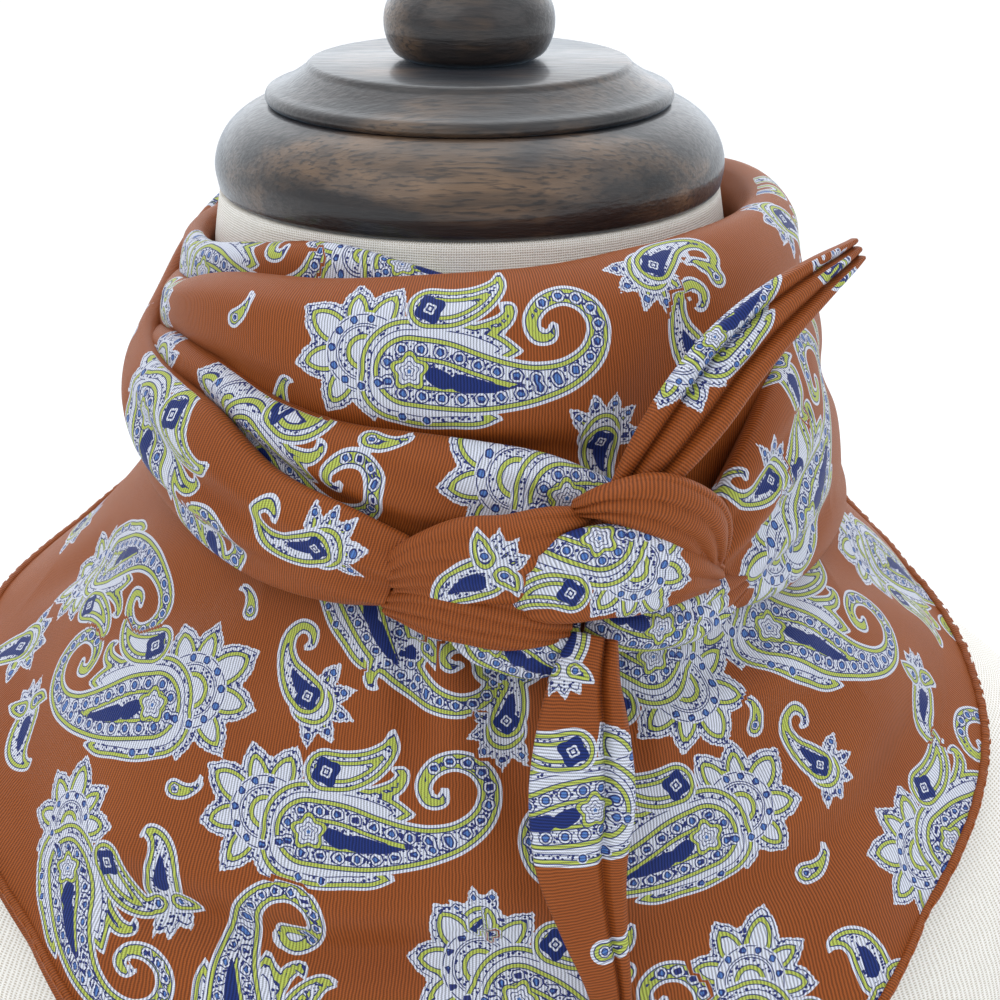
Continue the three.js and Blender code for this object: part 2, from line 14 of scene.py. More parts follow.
import bpy
import numpy as np
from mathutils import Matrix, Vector


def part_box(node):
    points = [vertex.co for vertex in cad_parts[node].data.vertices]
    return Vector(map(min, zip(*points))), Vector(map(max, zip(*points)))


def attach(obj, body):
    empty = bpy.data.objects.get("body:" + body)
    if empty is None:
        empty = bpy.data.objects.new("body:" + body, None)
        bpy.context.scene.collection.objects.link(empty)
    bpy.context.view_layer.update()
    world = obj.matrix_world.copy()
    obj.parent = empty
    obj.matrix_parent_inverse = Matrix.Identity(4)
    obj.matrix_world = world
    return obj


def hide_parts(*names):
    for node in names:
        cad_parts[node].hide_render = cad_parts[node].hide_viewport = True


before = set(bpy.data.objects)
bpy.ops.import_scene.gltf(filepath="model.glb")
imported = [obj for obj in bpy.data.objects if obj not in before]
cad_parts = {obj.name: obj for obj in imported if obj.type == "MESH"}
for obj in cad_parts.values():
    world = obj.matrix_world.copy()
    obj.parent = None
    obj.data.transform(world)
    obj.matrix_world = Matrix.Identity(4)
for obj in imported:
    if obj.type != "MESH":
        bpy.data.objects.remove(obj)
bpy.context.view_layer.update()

LOG = logging.getLogger("bandana")
MM = 0.001
BODY = "root"
FORM_PIECE = "linen_body_form"
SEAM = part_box("neck_cap")[0].z
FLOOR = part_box("plinth")[0].z

Array = np.ndarray
Row = Sequence[float]
Places = tuple[tuple[float, float], ...]


# ---------------------------------------------------------------- numbers and curves
def spline(knots: Array, values: Array, at: Array) -> Array:
    """Reads a smooth curve through given values.

    Args:
        knots: Rising positions of the values.
        values: Values, one for each knot along the first axis.
        at: Positions to read.

    Returns:
        The values at those positions, along the first axis.
    """
    shape = (-1,) + (1,) * (values.ndim - 1)
    step = np.diff(knots).reshape(shape)
    slope = np.diff(values, axis=0) / step
    tangent = np.empty_like(values)
    tangent[0], tangent[-1] = slope[0], slope[-1]
    tangent[1:-1] = (slope[:-1] * step[1:] + slope[1:] * step[:-1]) / (step[1:] + step[:-1])
    i = np.clip(np.searchsorted(knots, at, side="right") - 1, 0, len(knots) - 2)
    h = step[i]
    f = np.clip((at - knots[i]).reshape(shape) / h, 0.0, 1.0)
    return (
        (2 * f**3 - 3 * f**2 + 1) * values[i]
        + (f**3 - 2 * f**2 + f) * h * tangent[i]
        + (3 * f**2 - 2 * f**3) * values[i + 1]
        + (f**3 - f**2) * h * tangent[i + 1]
    )


def rows_at(rows: Sequence[Row], count: int) -> Array:
    """Spreads a short table into many rows on a smooth curve.

    Args:
        rows: The table.
        count: How many rows to make, ends included.

    Returns:
        The rows, as an array of count by columns.
    """
    table = np.array(rows, float)
    return spline(np.arange(len(table), dtype=float), table, np.linspace(0, len(table) - 1, count))


def round_neck(azimuth: Array, radius: Array, height: Array) -> Array:
    """Turns azimuth, radius and height into points, in millimetres from the seam's middle."""
    a = np.radians(azimuth)
    return np.stack([radius * np.sin(a), -radius * np.cos(a), height], axis=-1)


def unit(v: Array) -> Array:
    """Scales vectors to length one."""
    return v / np.maximum(np.linalg.norm(v, axis=-1, keepdims=True), 1e-9)


def ease(x: Array, low: float, high: float) -> Array:
    """Rises smoothly from 0 at low to 1 at high."""
    t = np.clip((x - low) / (high - low), 0.0, 1.0)
    return t * t * (3 - 2 * t)


def running_length(points: Array, axis: int) -> Array:
    """Length along a grid's lines, in millimetres, from their first points."""
    gap = np.linalg.norm(np.diff(points, axis=axis), axis=-1)
    start = np.zeros_like(np.take(gap, [0], axis=axis))
    return np.concatenate([start, np.cumsum(gap, axis=axis)], axis=axis)


# ---------------------------------------------------------------- the printed motifs
SPINE_STEPS = 400


def spaced(route: Array, pitch: float) -> Places:
    """Places evenly along a line, at about a pitch, ends included."""
    length = running_length(route, 0)
    steps = np.linspace(0.0, length[-1], int(length[-1] / pitch) + 1)
    x, y = (np.interp(steps, length, route[:, axis]) for axis in (0, 1))
    return tuple(zip(x.tolist(), y.tolist()))


@dataclass(frozen=True)
class Stroke:
    """A rounded shape swept by a disc along a spine.

    Attributes:
        spine: Points of (x, y, radius), in millimetres on a full-size motif.
        discs: How many discs sweep it.
    """

    spine: tuple[tuple[float, float, float], ...]
    discs: int = 60

    def depth(self, x: Array, y: Array) -> Array:
        """Depth of points inside the outline, negative outside."""
        best = np.full(x.shape, -99.0)
        for cx, cy, radius in rows_at(self.spine, self.discs):
            best = np.maximum(best, radius - np.hypot(x - cx, y - cy))
        return best

    def beads(self, inset: float, pitch: float, shares: tuple[float, float]) -> Places:
        """Places evenly along both sides, inside the outline.

        Args:
            inset: Distance from the outline.
            pitch: Distance between them.
            shares: Shares of the spine where they start and end.

        Returns:
            The places; the ones round the head come first.
        """
        rows = rows_at(self.spine, SPINE_STEPS)
        forward = unit(np.gradient(rows[:, :2], axis=0))
        left = np.stack([-forward[:, 1], forward[:, 0]], axis=-1)
        keep = slice(int(SPINE_STEPS * shares[0]), int(SPINE_STEPS * shares[1]))
        offset = np.maximum(rows[:, 2:3] - inset, 0.0)
        sides = [(rows[:, :2] + left * offset)[keep], (rows[:, :2] - left * offset)[keep]]
        turns = np.radians(np.arange(100, 261, 4))[:, None]
        head = rows[0, :2] + offset[0] * (np.cos(turns) * forward[0] + np.sin(turns) * left[0])
        return spaced(np.concatenate([sides[0][::-1], head, sides[1]]), pitch)

    def middle(self, pitch: float, shares: tuple[float, float]) -> Places:
        """Places evenly along part of the spine, at a pitch, between two shares of it."""
        rows = rows_at(self.spine, SPINE_STEPS)
        return spaced(rows[int(SPINE_STEPS * shares[0]) : int(SPINE_STEPS * shares[1]), :2], pitch)


def petals(centre: tuple[float, float], fan: Sequence[tuple[float, float, float]]) -> tuple[Stroke, ...]:
    """Makes pointed petals round a centre.

    Args:
        centre: Where they spring from.
        fan: Direction in degrees, length and half width of each.

    Returns:
        One stroke for each petal.
    """
    outline = ((0.34, 0.8), (0.52, 1.0), (0.68, 0.84), (0.84, 0.42), (1.0, 0.04))
    made = []
    for direction, length, half_width in fan:
        a = math.radians(direction)
        spine = tuple(
            (centre[0] + length * f * math.cos(a), centre[1] + length * f * math.sin(a), half_width * w)
            for f, w in outline
        )
        made.append(Stroke(spine, 24))
    return tuple(made)


def ring(centre: tuple[float, float], radius: float, degrees: Sequence[float]) -> Places:
    """Places round a centre, at the given directions."""
    return tuple(
        (centre[0] + radius * math.cos(math.radians(a)), centre[1] + radius * math.sin(math.radians(a)))
        for a in degrees
    )


class Mark(Enum):
    """A small figure printed inside a motif."""

    FLOWER = 2
    ROSETTE = 3


LAYERS = ("petal", "fan", "vine", "body", "leaf", "seed")


@dataclass(frozen=True)
class Motif:
    """One drawn motif: strokes in layers, each over the one before, then its small marks.

    Attributes:
        reach: Radius that holds all of it.
        beads: Places of its small round beads.
        marks: Place and kind of each larger figure.
    """

    reach: float
    body: tuple[Stroke, ...]
    petal: tuple[Stroke, ...] = ()
    fan: tuple[Stroke, ...] = ()
    vine: tuple[Stroke, ...] = ()
    leaf: tuple[Stroke, ...] = ()
    seed: tuple[Stroke, ...] = ()
    beads: Places = ()
    marks: tuple[tuple[float, float, Mark], ...] = ()


GRAND_BODY = Stroke(
    (
        (0, 0, 7.4), (6, -0.7, 7.3), (12, -1.8, 6.4), (18, -2.3, 5.2), (24, -2, 4.1),
        (30, -0.2, 3.3), (34.4, 3.6, 2.8), (35.6, 8.8, 2.4), (33.4, 13, 2.2), (29.2, 14.8, 2.1),
        (25, 13.4, 2), (22.8, 10, 1.8),
        (23.8, 6.9, 1.6), (26.4, 6.8, 1.4), (27, 8.8, 0.9),
    ),
    150,
)
GRAND_LEAF = Stroke(((3.4, 12, 4.5), (8, 12, 4.2), (12.6, 13.6, 3.3), (16, 16.6, 2.1), (16.6, 20, 0.7)))
FAN_CENTRE = (-8.8, 3.4)
GRAND_PAISLEY = Motif(
    reach=40,
    body=(GRAND_BODY,),
    petal=petals(
        FAN_CENTRE,
        [
            (64, 14.6, 3.9), (103, 14, 3.6), (146, 15.6, 4.2),
            (190, 14.4, 3.9), (234, 14.6, 3.7), (276, 13.6, 3.2),
        ],
    ),
    fan=(Stroke(((*FAN_CENTRE, 7.6), (-8, 3.2, 7.6)), 2),),
    vine=(
        Stroke(((-0.6, 1, 9.3), (5, 2, 8.3), (10.5, 3.4, 6.1), (16, 4.4, 3.2), (21, 4, 0.5))),
        Stroke(((-2.4, -2.4, 7.8), (2.6, -5, 6.2), (8, -7, 4), (13, -8.6, 2.2), (17.6, -8.6, 0.4))),
        Stroke(((9, 7, 1.7), (13.4, 7.8, 1.8), (17.4, 9.4, 1.8), (18.8, 12, 1.3), (17, 12.8, 0.6))),
    ),
    leaf=(GRAND_LEAF,),
    seed=(
        Stroke(((4.6, -0.6, 1.5), (6.6, -1.6, 1.7), (7.8, -1.8, 0.8)), 12),
        Stroke(((9.6, -2, 1.7), (12, -2.4, 1.5), (16, -2.9, 0.9), (20, -3, 0.1)), 30),
    ),
    beads=GRAND_BODY.beads(3.05, 3.7, (0.0, 0.42))
    + GRAND_BODY.middle(3.4, (0.46, 0.72))
    + ring(FAN_CENTRE, 6.4, range(80, 300, 31))
    + ((-1.5, -8.8), (3.2, -9.4)),
    marks=((3.6, 11.9, Mark.FLOWER), (0.2, 0, Mark.ROSETTE)),
)

HOOK_BODY = Stroke(
    (
        (0, 0, 4.6), (-2.4, 2.2, 4.3), (-5, 5.4, 3.2), (-6.4, 9.4, 2.3), (-5.8, 13, 1.8), (-3.2, 15, 1.6),
        (-0.4, 13.8, 1.5), (-0.2, 11.2, 1.2), (-1.6, 10.4, 0.8),
    ),
    90,
)
HOOK_FAN = (52, 14, -22, -58, -92)
HOOK_PAISLEY = Motif(
    reach=18,
    body=(HOOK_BODY,),
    petal=petals((0.8, -0.8), [(a, 10.4, 2.0) for a in HOOK_FAN]),
    vine=(Stroke(((1.6, -1.6, 5), (0.8, -1.4, 5)), 2),),
    seed=(Stroke(((-1.6, 1.8, 1.6), (-3.4, 4, 0.9), (-4.6, 6, 0.1)), 14),),
    beads=ring((0.8, -0.8), 7.6, HOOK_FAN),
    marks=((0, 0, Mark.FLOWER),),
)

LEAF_BODY = Stroke(
    ((0, 0, 4.7), (1.6, 3.4, 4.5), (2.6, 7, 3.6), (1.8, 10.4, 2.4), (-0.6, 12.4, 1.4), (-2.4, 11.8, 0.5))
)
LEAF_PAISLEY = Motif(
    reach=17,
    body=(LEAF_BODY,),
    petal=petals((0, -2), [(a, 8.2, 1.7) for a in (-62, -90, -118)]),
    leaf=(
        Stroke(((-2.4, -3, 2.6), (-4.8, -2.8, 2), (-7.6, -1, 0.3)), 20),
        Stroke(((2.6, -3.4, 2.7), (4.8, -4.6, 2), (7.2, -6.4, 0.3)), 20),
    ),
    seed=(Stroke(((0.4, 1.6, 1.9), (1.8, 4.6, 1.3), (2.6, 8.2, 0.1)), 24),),
    beads=((-2.6, -3), (2.8, -3.5)),
)

COMMA = Motif(
    reach=10,
    body=(Stroke(((0, 0, 2.8), (2.8, 0.4, 2.4), (5.4, 2, 1.7), (7, 4.4, 1.3), (6.6, 6.2, 0.7)), 24),),
    beads=((0.4, 0.1),),
)


@dataclass(frozen=True)
class Print:
    """One motif printed on a stretch.

    Attributes:
        motif: What is printed.
        azimuth: Where its head lies round the neck, in degrees.
        height: Height of its head from the seam.
        turn: Degrees anticlockwise, seen from outside.
        size: Share of full size, negative for a mirrored one.
    """

    motif: Motif
    azimuth: float
    height: float
    turn: float
    size: float = 1.0


OUTSIDE = -9.0
NO_MARK = 9.0
MARK_REACH = 5.6
MOST_STRETCH = 1.6
FACING_AWAY = 400.0


@dataclass
class PrintedCloth:
    """Measures every point of a stretch against the motifs printed on it."""

    points: Array
    normals: Array
    prints: Sequence[Print]

    def centre_of(self, one: Print) -> int:
        """Finds the outward-facing point nearest a print's azimuth and height."""
        azimuth = np.degrees(np.arctan2(self.points[:, 0], -self.points[:, 1]))
        off = (azimuth - one.azimuth + 180) % 360 - 180
        radius = np.hypot(self.points[:, 0], self.points[:, 1])
        outward = np.sum(self.normals[:, :2] * self.points[:, :2], axis=1) / radius
        miss = (np.radians(off) * radius) ** 2 + (self.points[:, 2] - one.height) ** 2
        return int(np.argmin(miss + np.where(outward < 0.05, FACING_AWAY, 0.0)))

    def layers(self) -> dict[str, Array]:
        """Gives depths inside the layers' outlines, three to a vector, and places of marks and beads.

        Returns:
            Arrays that the finish reads: vectors of three columns, and the distance to the nearest bead.
        """
        count = len(self.points)
        depth = {name: np.full(count, OUTSIDE) for name in LAYERS}
        mark = np.tile([NO_MARK, NO_MARK, 0.0], (count, 1))
        bead = np.full(count, NO_MARK)
        nearest = np.full(count, np.inf)
        for one in self.prints:
            self._stamp(one, depth, mark, bead, nearest)
        low = np.stack([depth[name] for name in LAYERS[:3]], axis=-1)
        high = np.stack([depth[name] for name in LAYERS[3:]], axis=-1)
        return {"low_inks": low, "high_inks": high, "marks": mark, "beads": bead[:, None]}

    def _stamp(self, one: Print, depth: dict[str, Array], mark: Array, bead: Array, nearest: Array) -> None:
        """Writes one print into the layers where it is the nearest one."""
        k = self.centre_of(one)
        origin, normal = self.points[k], self.normals[k]
        east = unit(np.cross([0.0, 0.0, 1.0], normal))
        north = np.cross(normal, east)
        offset = self.points - origin
        flat_x, flat_y = offset @ east, offset @ north
        chord = np.linalg.norm(offset, axis=1)
        stretch = np.minimum(chord / np.maximum(np.hypot(flat_x, flat_y), 1e-6), MOST_STRETCH)
        a = math.radians(one.turn)
        size = abs(one.size)
        x = (math.cos(a) * flat_x + math.sin(a) * flat_y) * stretch / size
        y = (-math.sin(a) * flat_x + math.cos(a) * flat_y) * stretch / size
        y = y if one.size > 0 else -y
        index = np.flatnonzero((np.hypot(x, y) < one.motif.reach) & (self.normals @ normal > -0.35))
        x, y = x[index], y[index]
        found = {name: np.full(x.shape, OUTSIDE) for name in LAYERS}
        for name in LAYERS:
            for stroke in getattr(one.motif, name):
                found[name] = np.maximum(found[name], stroke.depth(x, y))
        closest = -np.maximum.reduce(list(found.values())) * size
        win = closest < nearest[index]
        chosen = index[win]
        nearest[chosen] = closest[win]
        for name in LAYERS:
            depth[name][chosen] = found[name][win] * size
        near = np.tile([NO_MARK, NO_MARK, 0.0], (len(x), 1))
        for mark_x, mark_y, kind in one.motif.marks:
            closer = np.hypot(x - mark_x, y - mark_y) < MARK_REACH
            figure = np.stack([x - mark_x, y - mark_y, np.full(x.shape, float(kind.value))], axis=-1)
            near[closer] = figure[closer]
        mark[chosen] = near[win]
        away = np.full(x.shape, NO_MARK)
        for bead_x, bead_y in one.motif.beads:
            away = np.minimum(away, np.hypot(x - bead_x, y - bead_y))
        bead[chosen] = away[win]


# ---------------------------------------------------------------- creases
@dataclass(frozen=True)
class Crease:
    """A soft trough, or with a negative depth a ridge, drawn on a stretch.

    Attributes:
        route: Points of azimuth and height from the seam.
        width: Half width where it has faded to a third.
        depth: Depth at its middle.
    """

    route: Places
    width: float
    depth: float

    def sink(self, points: Array) -> Array:
        """Depth of the crease at each point, fading towards both ends."""
        radius = np.hypot(points[..., 0], points[..., 1])
        azimuth = np.degrees(np.arctan2(points[..., 0], -points[..., 1]))
        mean_radius = float(np.mean(radius))
        best = np.full(radius.shape, 1e9)
        share = np.zeros(radius.shape)
        spans = len(self.route) - 1
        for k in range(spans):
            (a0, h0), (a1, h1) = self.route[k], self.route[k + 1]
            scale = math.radians(1) * mean_radius
            px = ((azimuth - a0 + 180) % 360 - 180) * scale
            py = points[..., 2] - h0
            dx, dy = (a1 - a0) * scale, h1 - h0
            t = np.clip((px * dx + py * dy) / (dx * dx + dy * dy), 0, 1)
            away = np.hypot(px - t * dx, py - t * dy)
            share = np.where(away < best, (k + t) / spans, share)
            best = np.minimum(best, away)
        fade = np.sin(np.pi * np.clip(share, 0.02, 0.98)) ** 0.6
        return self.depth * np.exp(-((best / self.width) ** 2)) * fade


# ---------------------------------------------------------------- placing a piece
def place_piece(
    piece: bpy.types.Object, node: str, finish: Optional[bpy.types.Material] = None
) -> None:
    """Hangs a piece on the body, hides the CAD solid it stands in for, and gives it a finish.

    Args:
        piece: The piece.
        node: The CAD node it replaces.
        finish: Its material, where it has none yet.
    """
    if finish is not None:
        piece.data.materials.append(finish)
    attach(piece, BODY)
    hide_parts(node)


# ---------------------------------------------------------------- grids and shells of cloth
@dataclass
class ClothGrid:
    """A sheet of cloth as a grid: lines run to the right, points on a line run down.

    Attributes:
        points: Array of lines by points by 3, in millimetres.
        closed: True where each line is a closed loop.
    """

    points: Array
    closed: bool = False

    def normals(self) -> Array:
        """Outward unit normals."""
        along = np.gradient(self.points, axis=0)
        if self.closed:
            across = np.roll(self.points, -1, axis=1) - np.roll(self.points, 1, axis=1)
        else:
            across = np.gradient(self.points, axis=1)
        return unit(np.cross(across, along))

    def pressed(self, creases: Sequence[Crease]) -> "ClothGrid":
        """Presses creases into the outer face."""
        sink = sum((c.sink(self.points) for c in creases), np.zeros(self.points.shape[:2]))
        return ClothGrid(self.points - self.normals() * sink[..., None], self.closed)

    def smoothed(self, rounds: int) -> "ClothGrid":
        """Relaxes the grid's inner points towards their neighbours."""
        p = self.points.copy()
        for _ in range(rounds):
            p[1:-1, 1:-1] += 0.25 * (
                p[2:, 1:-1] + p[:-2, 1:-1] + p[1:-1, 2:] + p[1:-1, :-2] - 4 * p[1:-1, 1:-1]
            )
        return ClothGrid(p, self.closed)


def mesh_object(
    name: str, vertices: Array, faces: Sequence[Array], attributes: dict[str, Array], uv: Array
) -> bpy.types.Object:
    """Makes a smooth mesh object in the frame's metres.

    Args:
        name: The piece's name.
        vertices: Points in millimetres from the seam.
        faces: Arrays of faces, each with its own number of corners a row.
        attributes: A vector or one number for each vertex.
        uv: Two numbers for each vertex, in millimetres on the flat cloth.

    Returns:
        The linked object.
    """
    mesh = bpy.data.meshes.new(name)
    placed = vertices * MM + np.array([0.0, 0.0, SEAM])
    mesh.vertices.add(len(placed))
    mesh.vertices.foreach_set("co", placed.astype(np.float32).ravel())
    corners = np.concatenate([part.ravel() for part in faces]).astype(np.int32)
    sizes = np.concatenate([np.full(len(part), part.shape[1]) for part in faces])
    starts = np.concatenate([[0], np.cumsum(sizes)[:-1]]).astype(np.int32)
    mesh.loops.add(len(corners))
    mesh.loops.foreach_set("vertex_index", corners)
    mesh.polygons.add(len(sizes))
    mesh.polygons.foreach_set("loop_start", starts)
    mesh.update(calc_edges=True)
    mesh.polygons.foreach_set("use_smooth", np.ones(len(sizes), bool))
    for key, values in attributes.items():
        kind, channel = ("FLOAT_VECTOR", "vector") if values.shape[1] == 3 else ("FLOAT", "value")
        layer = mesh.attributes.new(key, kind, "POINT")
        layer.data.foreach_set(channel, values.astype(np.float32).ravel())
    layer = mesh.uv_layers.new(name="cloth")
    layer.data.foreach_set("uv", uv[corners].astype(np.float32).ravel())
    made = bpy.data.objects.new(name, mesh)
    bpy.context.scene.collection.objects.link(made)
    return made


def grid_faces(lines: int, count: int, start: int = 0, closed: bool = False) -> Array:
    """Quads of a grid, facing along across x along.

    Args:
        lines: How many lines.
        count: Points on a line.
        start: Index of its first point.
        closed: True where each line is a loop.

    Returns:
        Four indices a row.
    """
    i, j = np.meshgrid(np.arange(lines - 1), np.arange(count if closed else count - 1), indexing="ij")
    following = (j + 1) % count
    a, b = i * count + j, i * count + following
    return np.stack([a, b, b + count, a + count], axis=-1).reshape(-1, 4) + start


def shell_faces(lines: int, count: int) -> list[Array]:
    """Faces of a closed wall: an outer grid, and an inner one that has every second point of it.

    Args:
        lines: Lines of the outer grid, an odd number.
        count: Points on each, an odd number.

    Returns:
        Arrays of quads, and of five-cornered faces round the rims.
    """
    rows, columns = (lines + 1) // 2, (count + 1) // 2
    size = lines * count
    outer = np.arange(size).reshape(lines, count)
    inner = size + np.arange(rows * columns).reshape(rows, columns)

    def rim(fine: Array, coarse: Array) -> Array:
        """Closes the wall along one side."""
        return np.stack([fine[2::2], fine[1::2], fine[:-2:2], coarse[:-1], coarse[1:]], axis=-1)

    rims = [
        rim(outer[::-1, 0], inner[::-1, 0]),
        rim(outer[:, -1], inner[:, -1]),
        rim(outer[0], inner[0]),
        rim(outer[-1, ::-1], inner[-1, ::-1]),
    ]
    back = grid_faces(rows, columns, size)[:, ::-1]
    return [grid_faces(lines, count), back, np.concatenate(rims)]


def cloth_shell(
    name: str, grid: ClothGrid, thickness: float, prints: Sequence[Print], flat: Array
) -> bpy.types.Object:
    """Turns a grid into a thin closed shell that carries its print.

    Args:
        name: The piece's name.
        grid: Its outer face, with odd numbers of lines and points.
        thickness: Thickness laid behind it, in millimetres.
        prints: Motifs printed on it.
        flat: Flat place of each grid point, in millimetres.

    Returns:
        The shell.
    """
    lines, count = grid.points.shape[:2]
    normals = grid.normals()
    layers = PrintedCloth(grid.points.reshape(-1, 3), normals.reshape(-1, 3), prints).layers()

    def both(values: Array) -> Array:
        """Values of the outer face, then those of the inner one."""
        shaped = values.reshape(lines, count, -1)
        columns = shaped.shape[-1]
        return np.concatenate([shaped.reshape(-1, columns), shaped[::2, ::2].reshape(-1, columns)])

    inner = (grid.points - normals * thickness)[::2, ::2].reshape(-1, 3)
    vertices = np.concatenate([grid.points.reshape(-1, 3), inner])
    attributes = {key: both(values) for key, values in layers.items()}
    return mesh_object(name, vertices, shell_faces(lines, count), attributes, both(flat))


def closed_roll(name: str, grid: ClothGrid, prints: Sequence[Print]) -> bpy.types.Object:
    """Turns a grid of closed loops into a capped roll of cloth that carries its print.

    Args:
        name: The piece's name.
        grid: Its face; each line is a loop of an even number of points.
        prints: Motifs printed on it.

    Returns:
        The roll.
    """
    middle = grid.points.mean(axis=1, keepdims=True)
    if np.sum(grid.normals() * (grid.points - middle)) < 0:
        grid = ClothGrid(grid.points[:, ::-1], True)
    lines, count = grid.points.shape[:2]
    outer, normals = grid.points.reshape(-1, 3), grid.normals().reshape(-1, 3)
    layers = PrintedCloth(outer, normals, prints).layers()
    along = running_length(middle[:, 0], 0)[:, None]
    across = running_length(grid.points, 1)
    flat = np.stack([np.broadcast_to(along, across.shape), across], axis=-1)
    j = np.arange(count // 2 - 1)
    ladder = np.stack([j, j + 1, count - 2 - j, count - 1 - j], axis=-1)
    faces = [grid_faces(lines, count, 0, True), ladder[:, ::-1], ladder + (lines - 1) * count]
    return mesh_object(name, outer, faces, layers, flat.reshape(-1, 2))


# ---------------------------------------------------------------- shader building
Value = Union["Socket", float]


class Socket:
    """A node socket with arithmetic: an expression on it adds Math nodes."""

    def __init__(self, tree: bpy.types.NodeTree, link: bpy.types.NodeSocket) -> None:
        """Wraps an output socket of a tree."""
        self.tree = tree
        self.link = link

    def maths(self, operation: str, *others: Value) -> "Socket":
        """Adds a Math node on this value and others."""
        node = self.tree.nodes.new("ShaderNodeMath")
        node.operation = operation
        for slot, value in enumerate((self, *others)):
            if isinstance(value, Socket):
                self.tree.links.new(value.link, node.inputs[slot])
            else:
                node.inputs[slot].default_value = value
        return Socket(self.tree, node.outputs[0])

    def _reflected(self, operation: str, first: float) -> "Socket":
        """Adds a Math node whose first value is a plain number."""
        node = self.tree.nodes.new("ShaderNodeMath")
        node.operation = operation
        node.inputs[0].default_value = first
        self.tree.links.new(self.link, node.inputs[1])
        return Socket(self.tree, node.outputs[0])

    def __add__(self, other: Value) -> "Socket":
        """Adds."""
        return self.maths("ADD", other)

    __radd__ = __add__

    def __sub__(self, other: Value) -> "Socket":
        """Subtracts."""
        return self.maths("SUBTRACT", other)

    def __rsub__(self, other: float) -> "Socket":
        """Subtracts this value from a number."""
        return self._reflected("SUBTRACT", other)

    def __mul__(self, other: Value) -> "Socket":
        """Multiplies."""
        return self.maths("MULTIPLY", other)

    __rmul__ = __mul__

    def __truediv__(self, other: Value) -> "Socket":
        """Divides."""
        return self.maths("DIVIDE", other)

    def __rtruediv__(self, other: float) -> "Socket":
        """Divides a number by this value."""
        return self._reflected("DIVIDE", other)

    def __gt__(self, other: Value) -> "Socket":
        """One where this value is the greater, else zero."""
        return self.maths("GREATER_THAN", other)

    def __lt__(self, other: Value) -> "Socket":
        """One where this value is the smaller, else zero."""
        return self.maths("LESS_THAN", other)

    def sine(self) -> "Socket":
        """The sine, of an angle in radians."""
        return self.maths("SINE")

    def size(self) -> "Socket":
        """The value without its sign."""
        return self.maths("ABSOLUTE")

    def power(self, exponent: float) -> "Socket":
        """Raised to a power."""
        return self.maths("POWER", exponent)

    def least(self, other: Value) -> "Socket":
        """The smaller of two values."""
        return self.maths("MINIMUM", other)

    def most(self, other: Value) -> "Socket":
        """The greater of two values."""
        return self.maths("MAXIMUM", other)

    def folded(self, pitch: float) -> "Socket":
        """Distance to the nearest whole multiple of a pitch."""
        return self.maths("PINGPONG", pitch / 2)


Colour = tuple[float, float, float]


def srgb(red: int, green: int, blue: int) -> Colour:
    """Linear colour of an sRGB one given from 0 to 255."""

    def linear(c: float) -> float:
        """One channel."""
        return c / 12.92 if c <= 0.04045 else ((c + 0.055) / 1.055) ** 2.4

    return (linear(red / 255), linear(green / 255), linear(blue / 255))


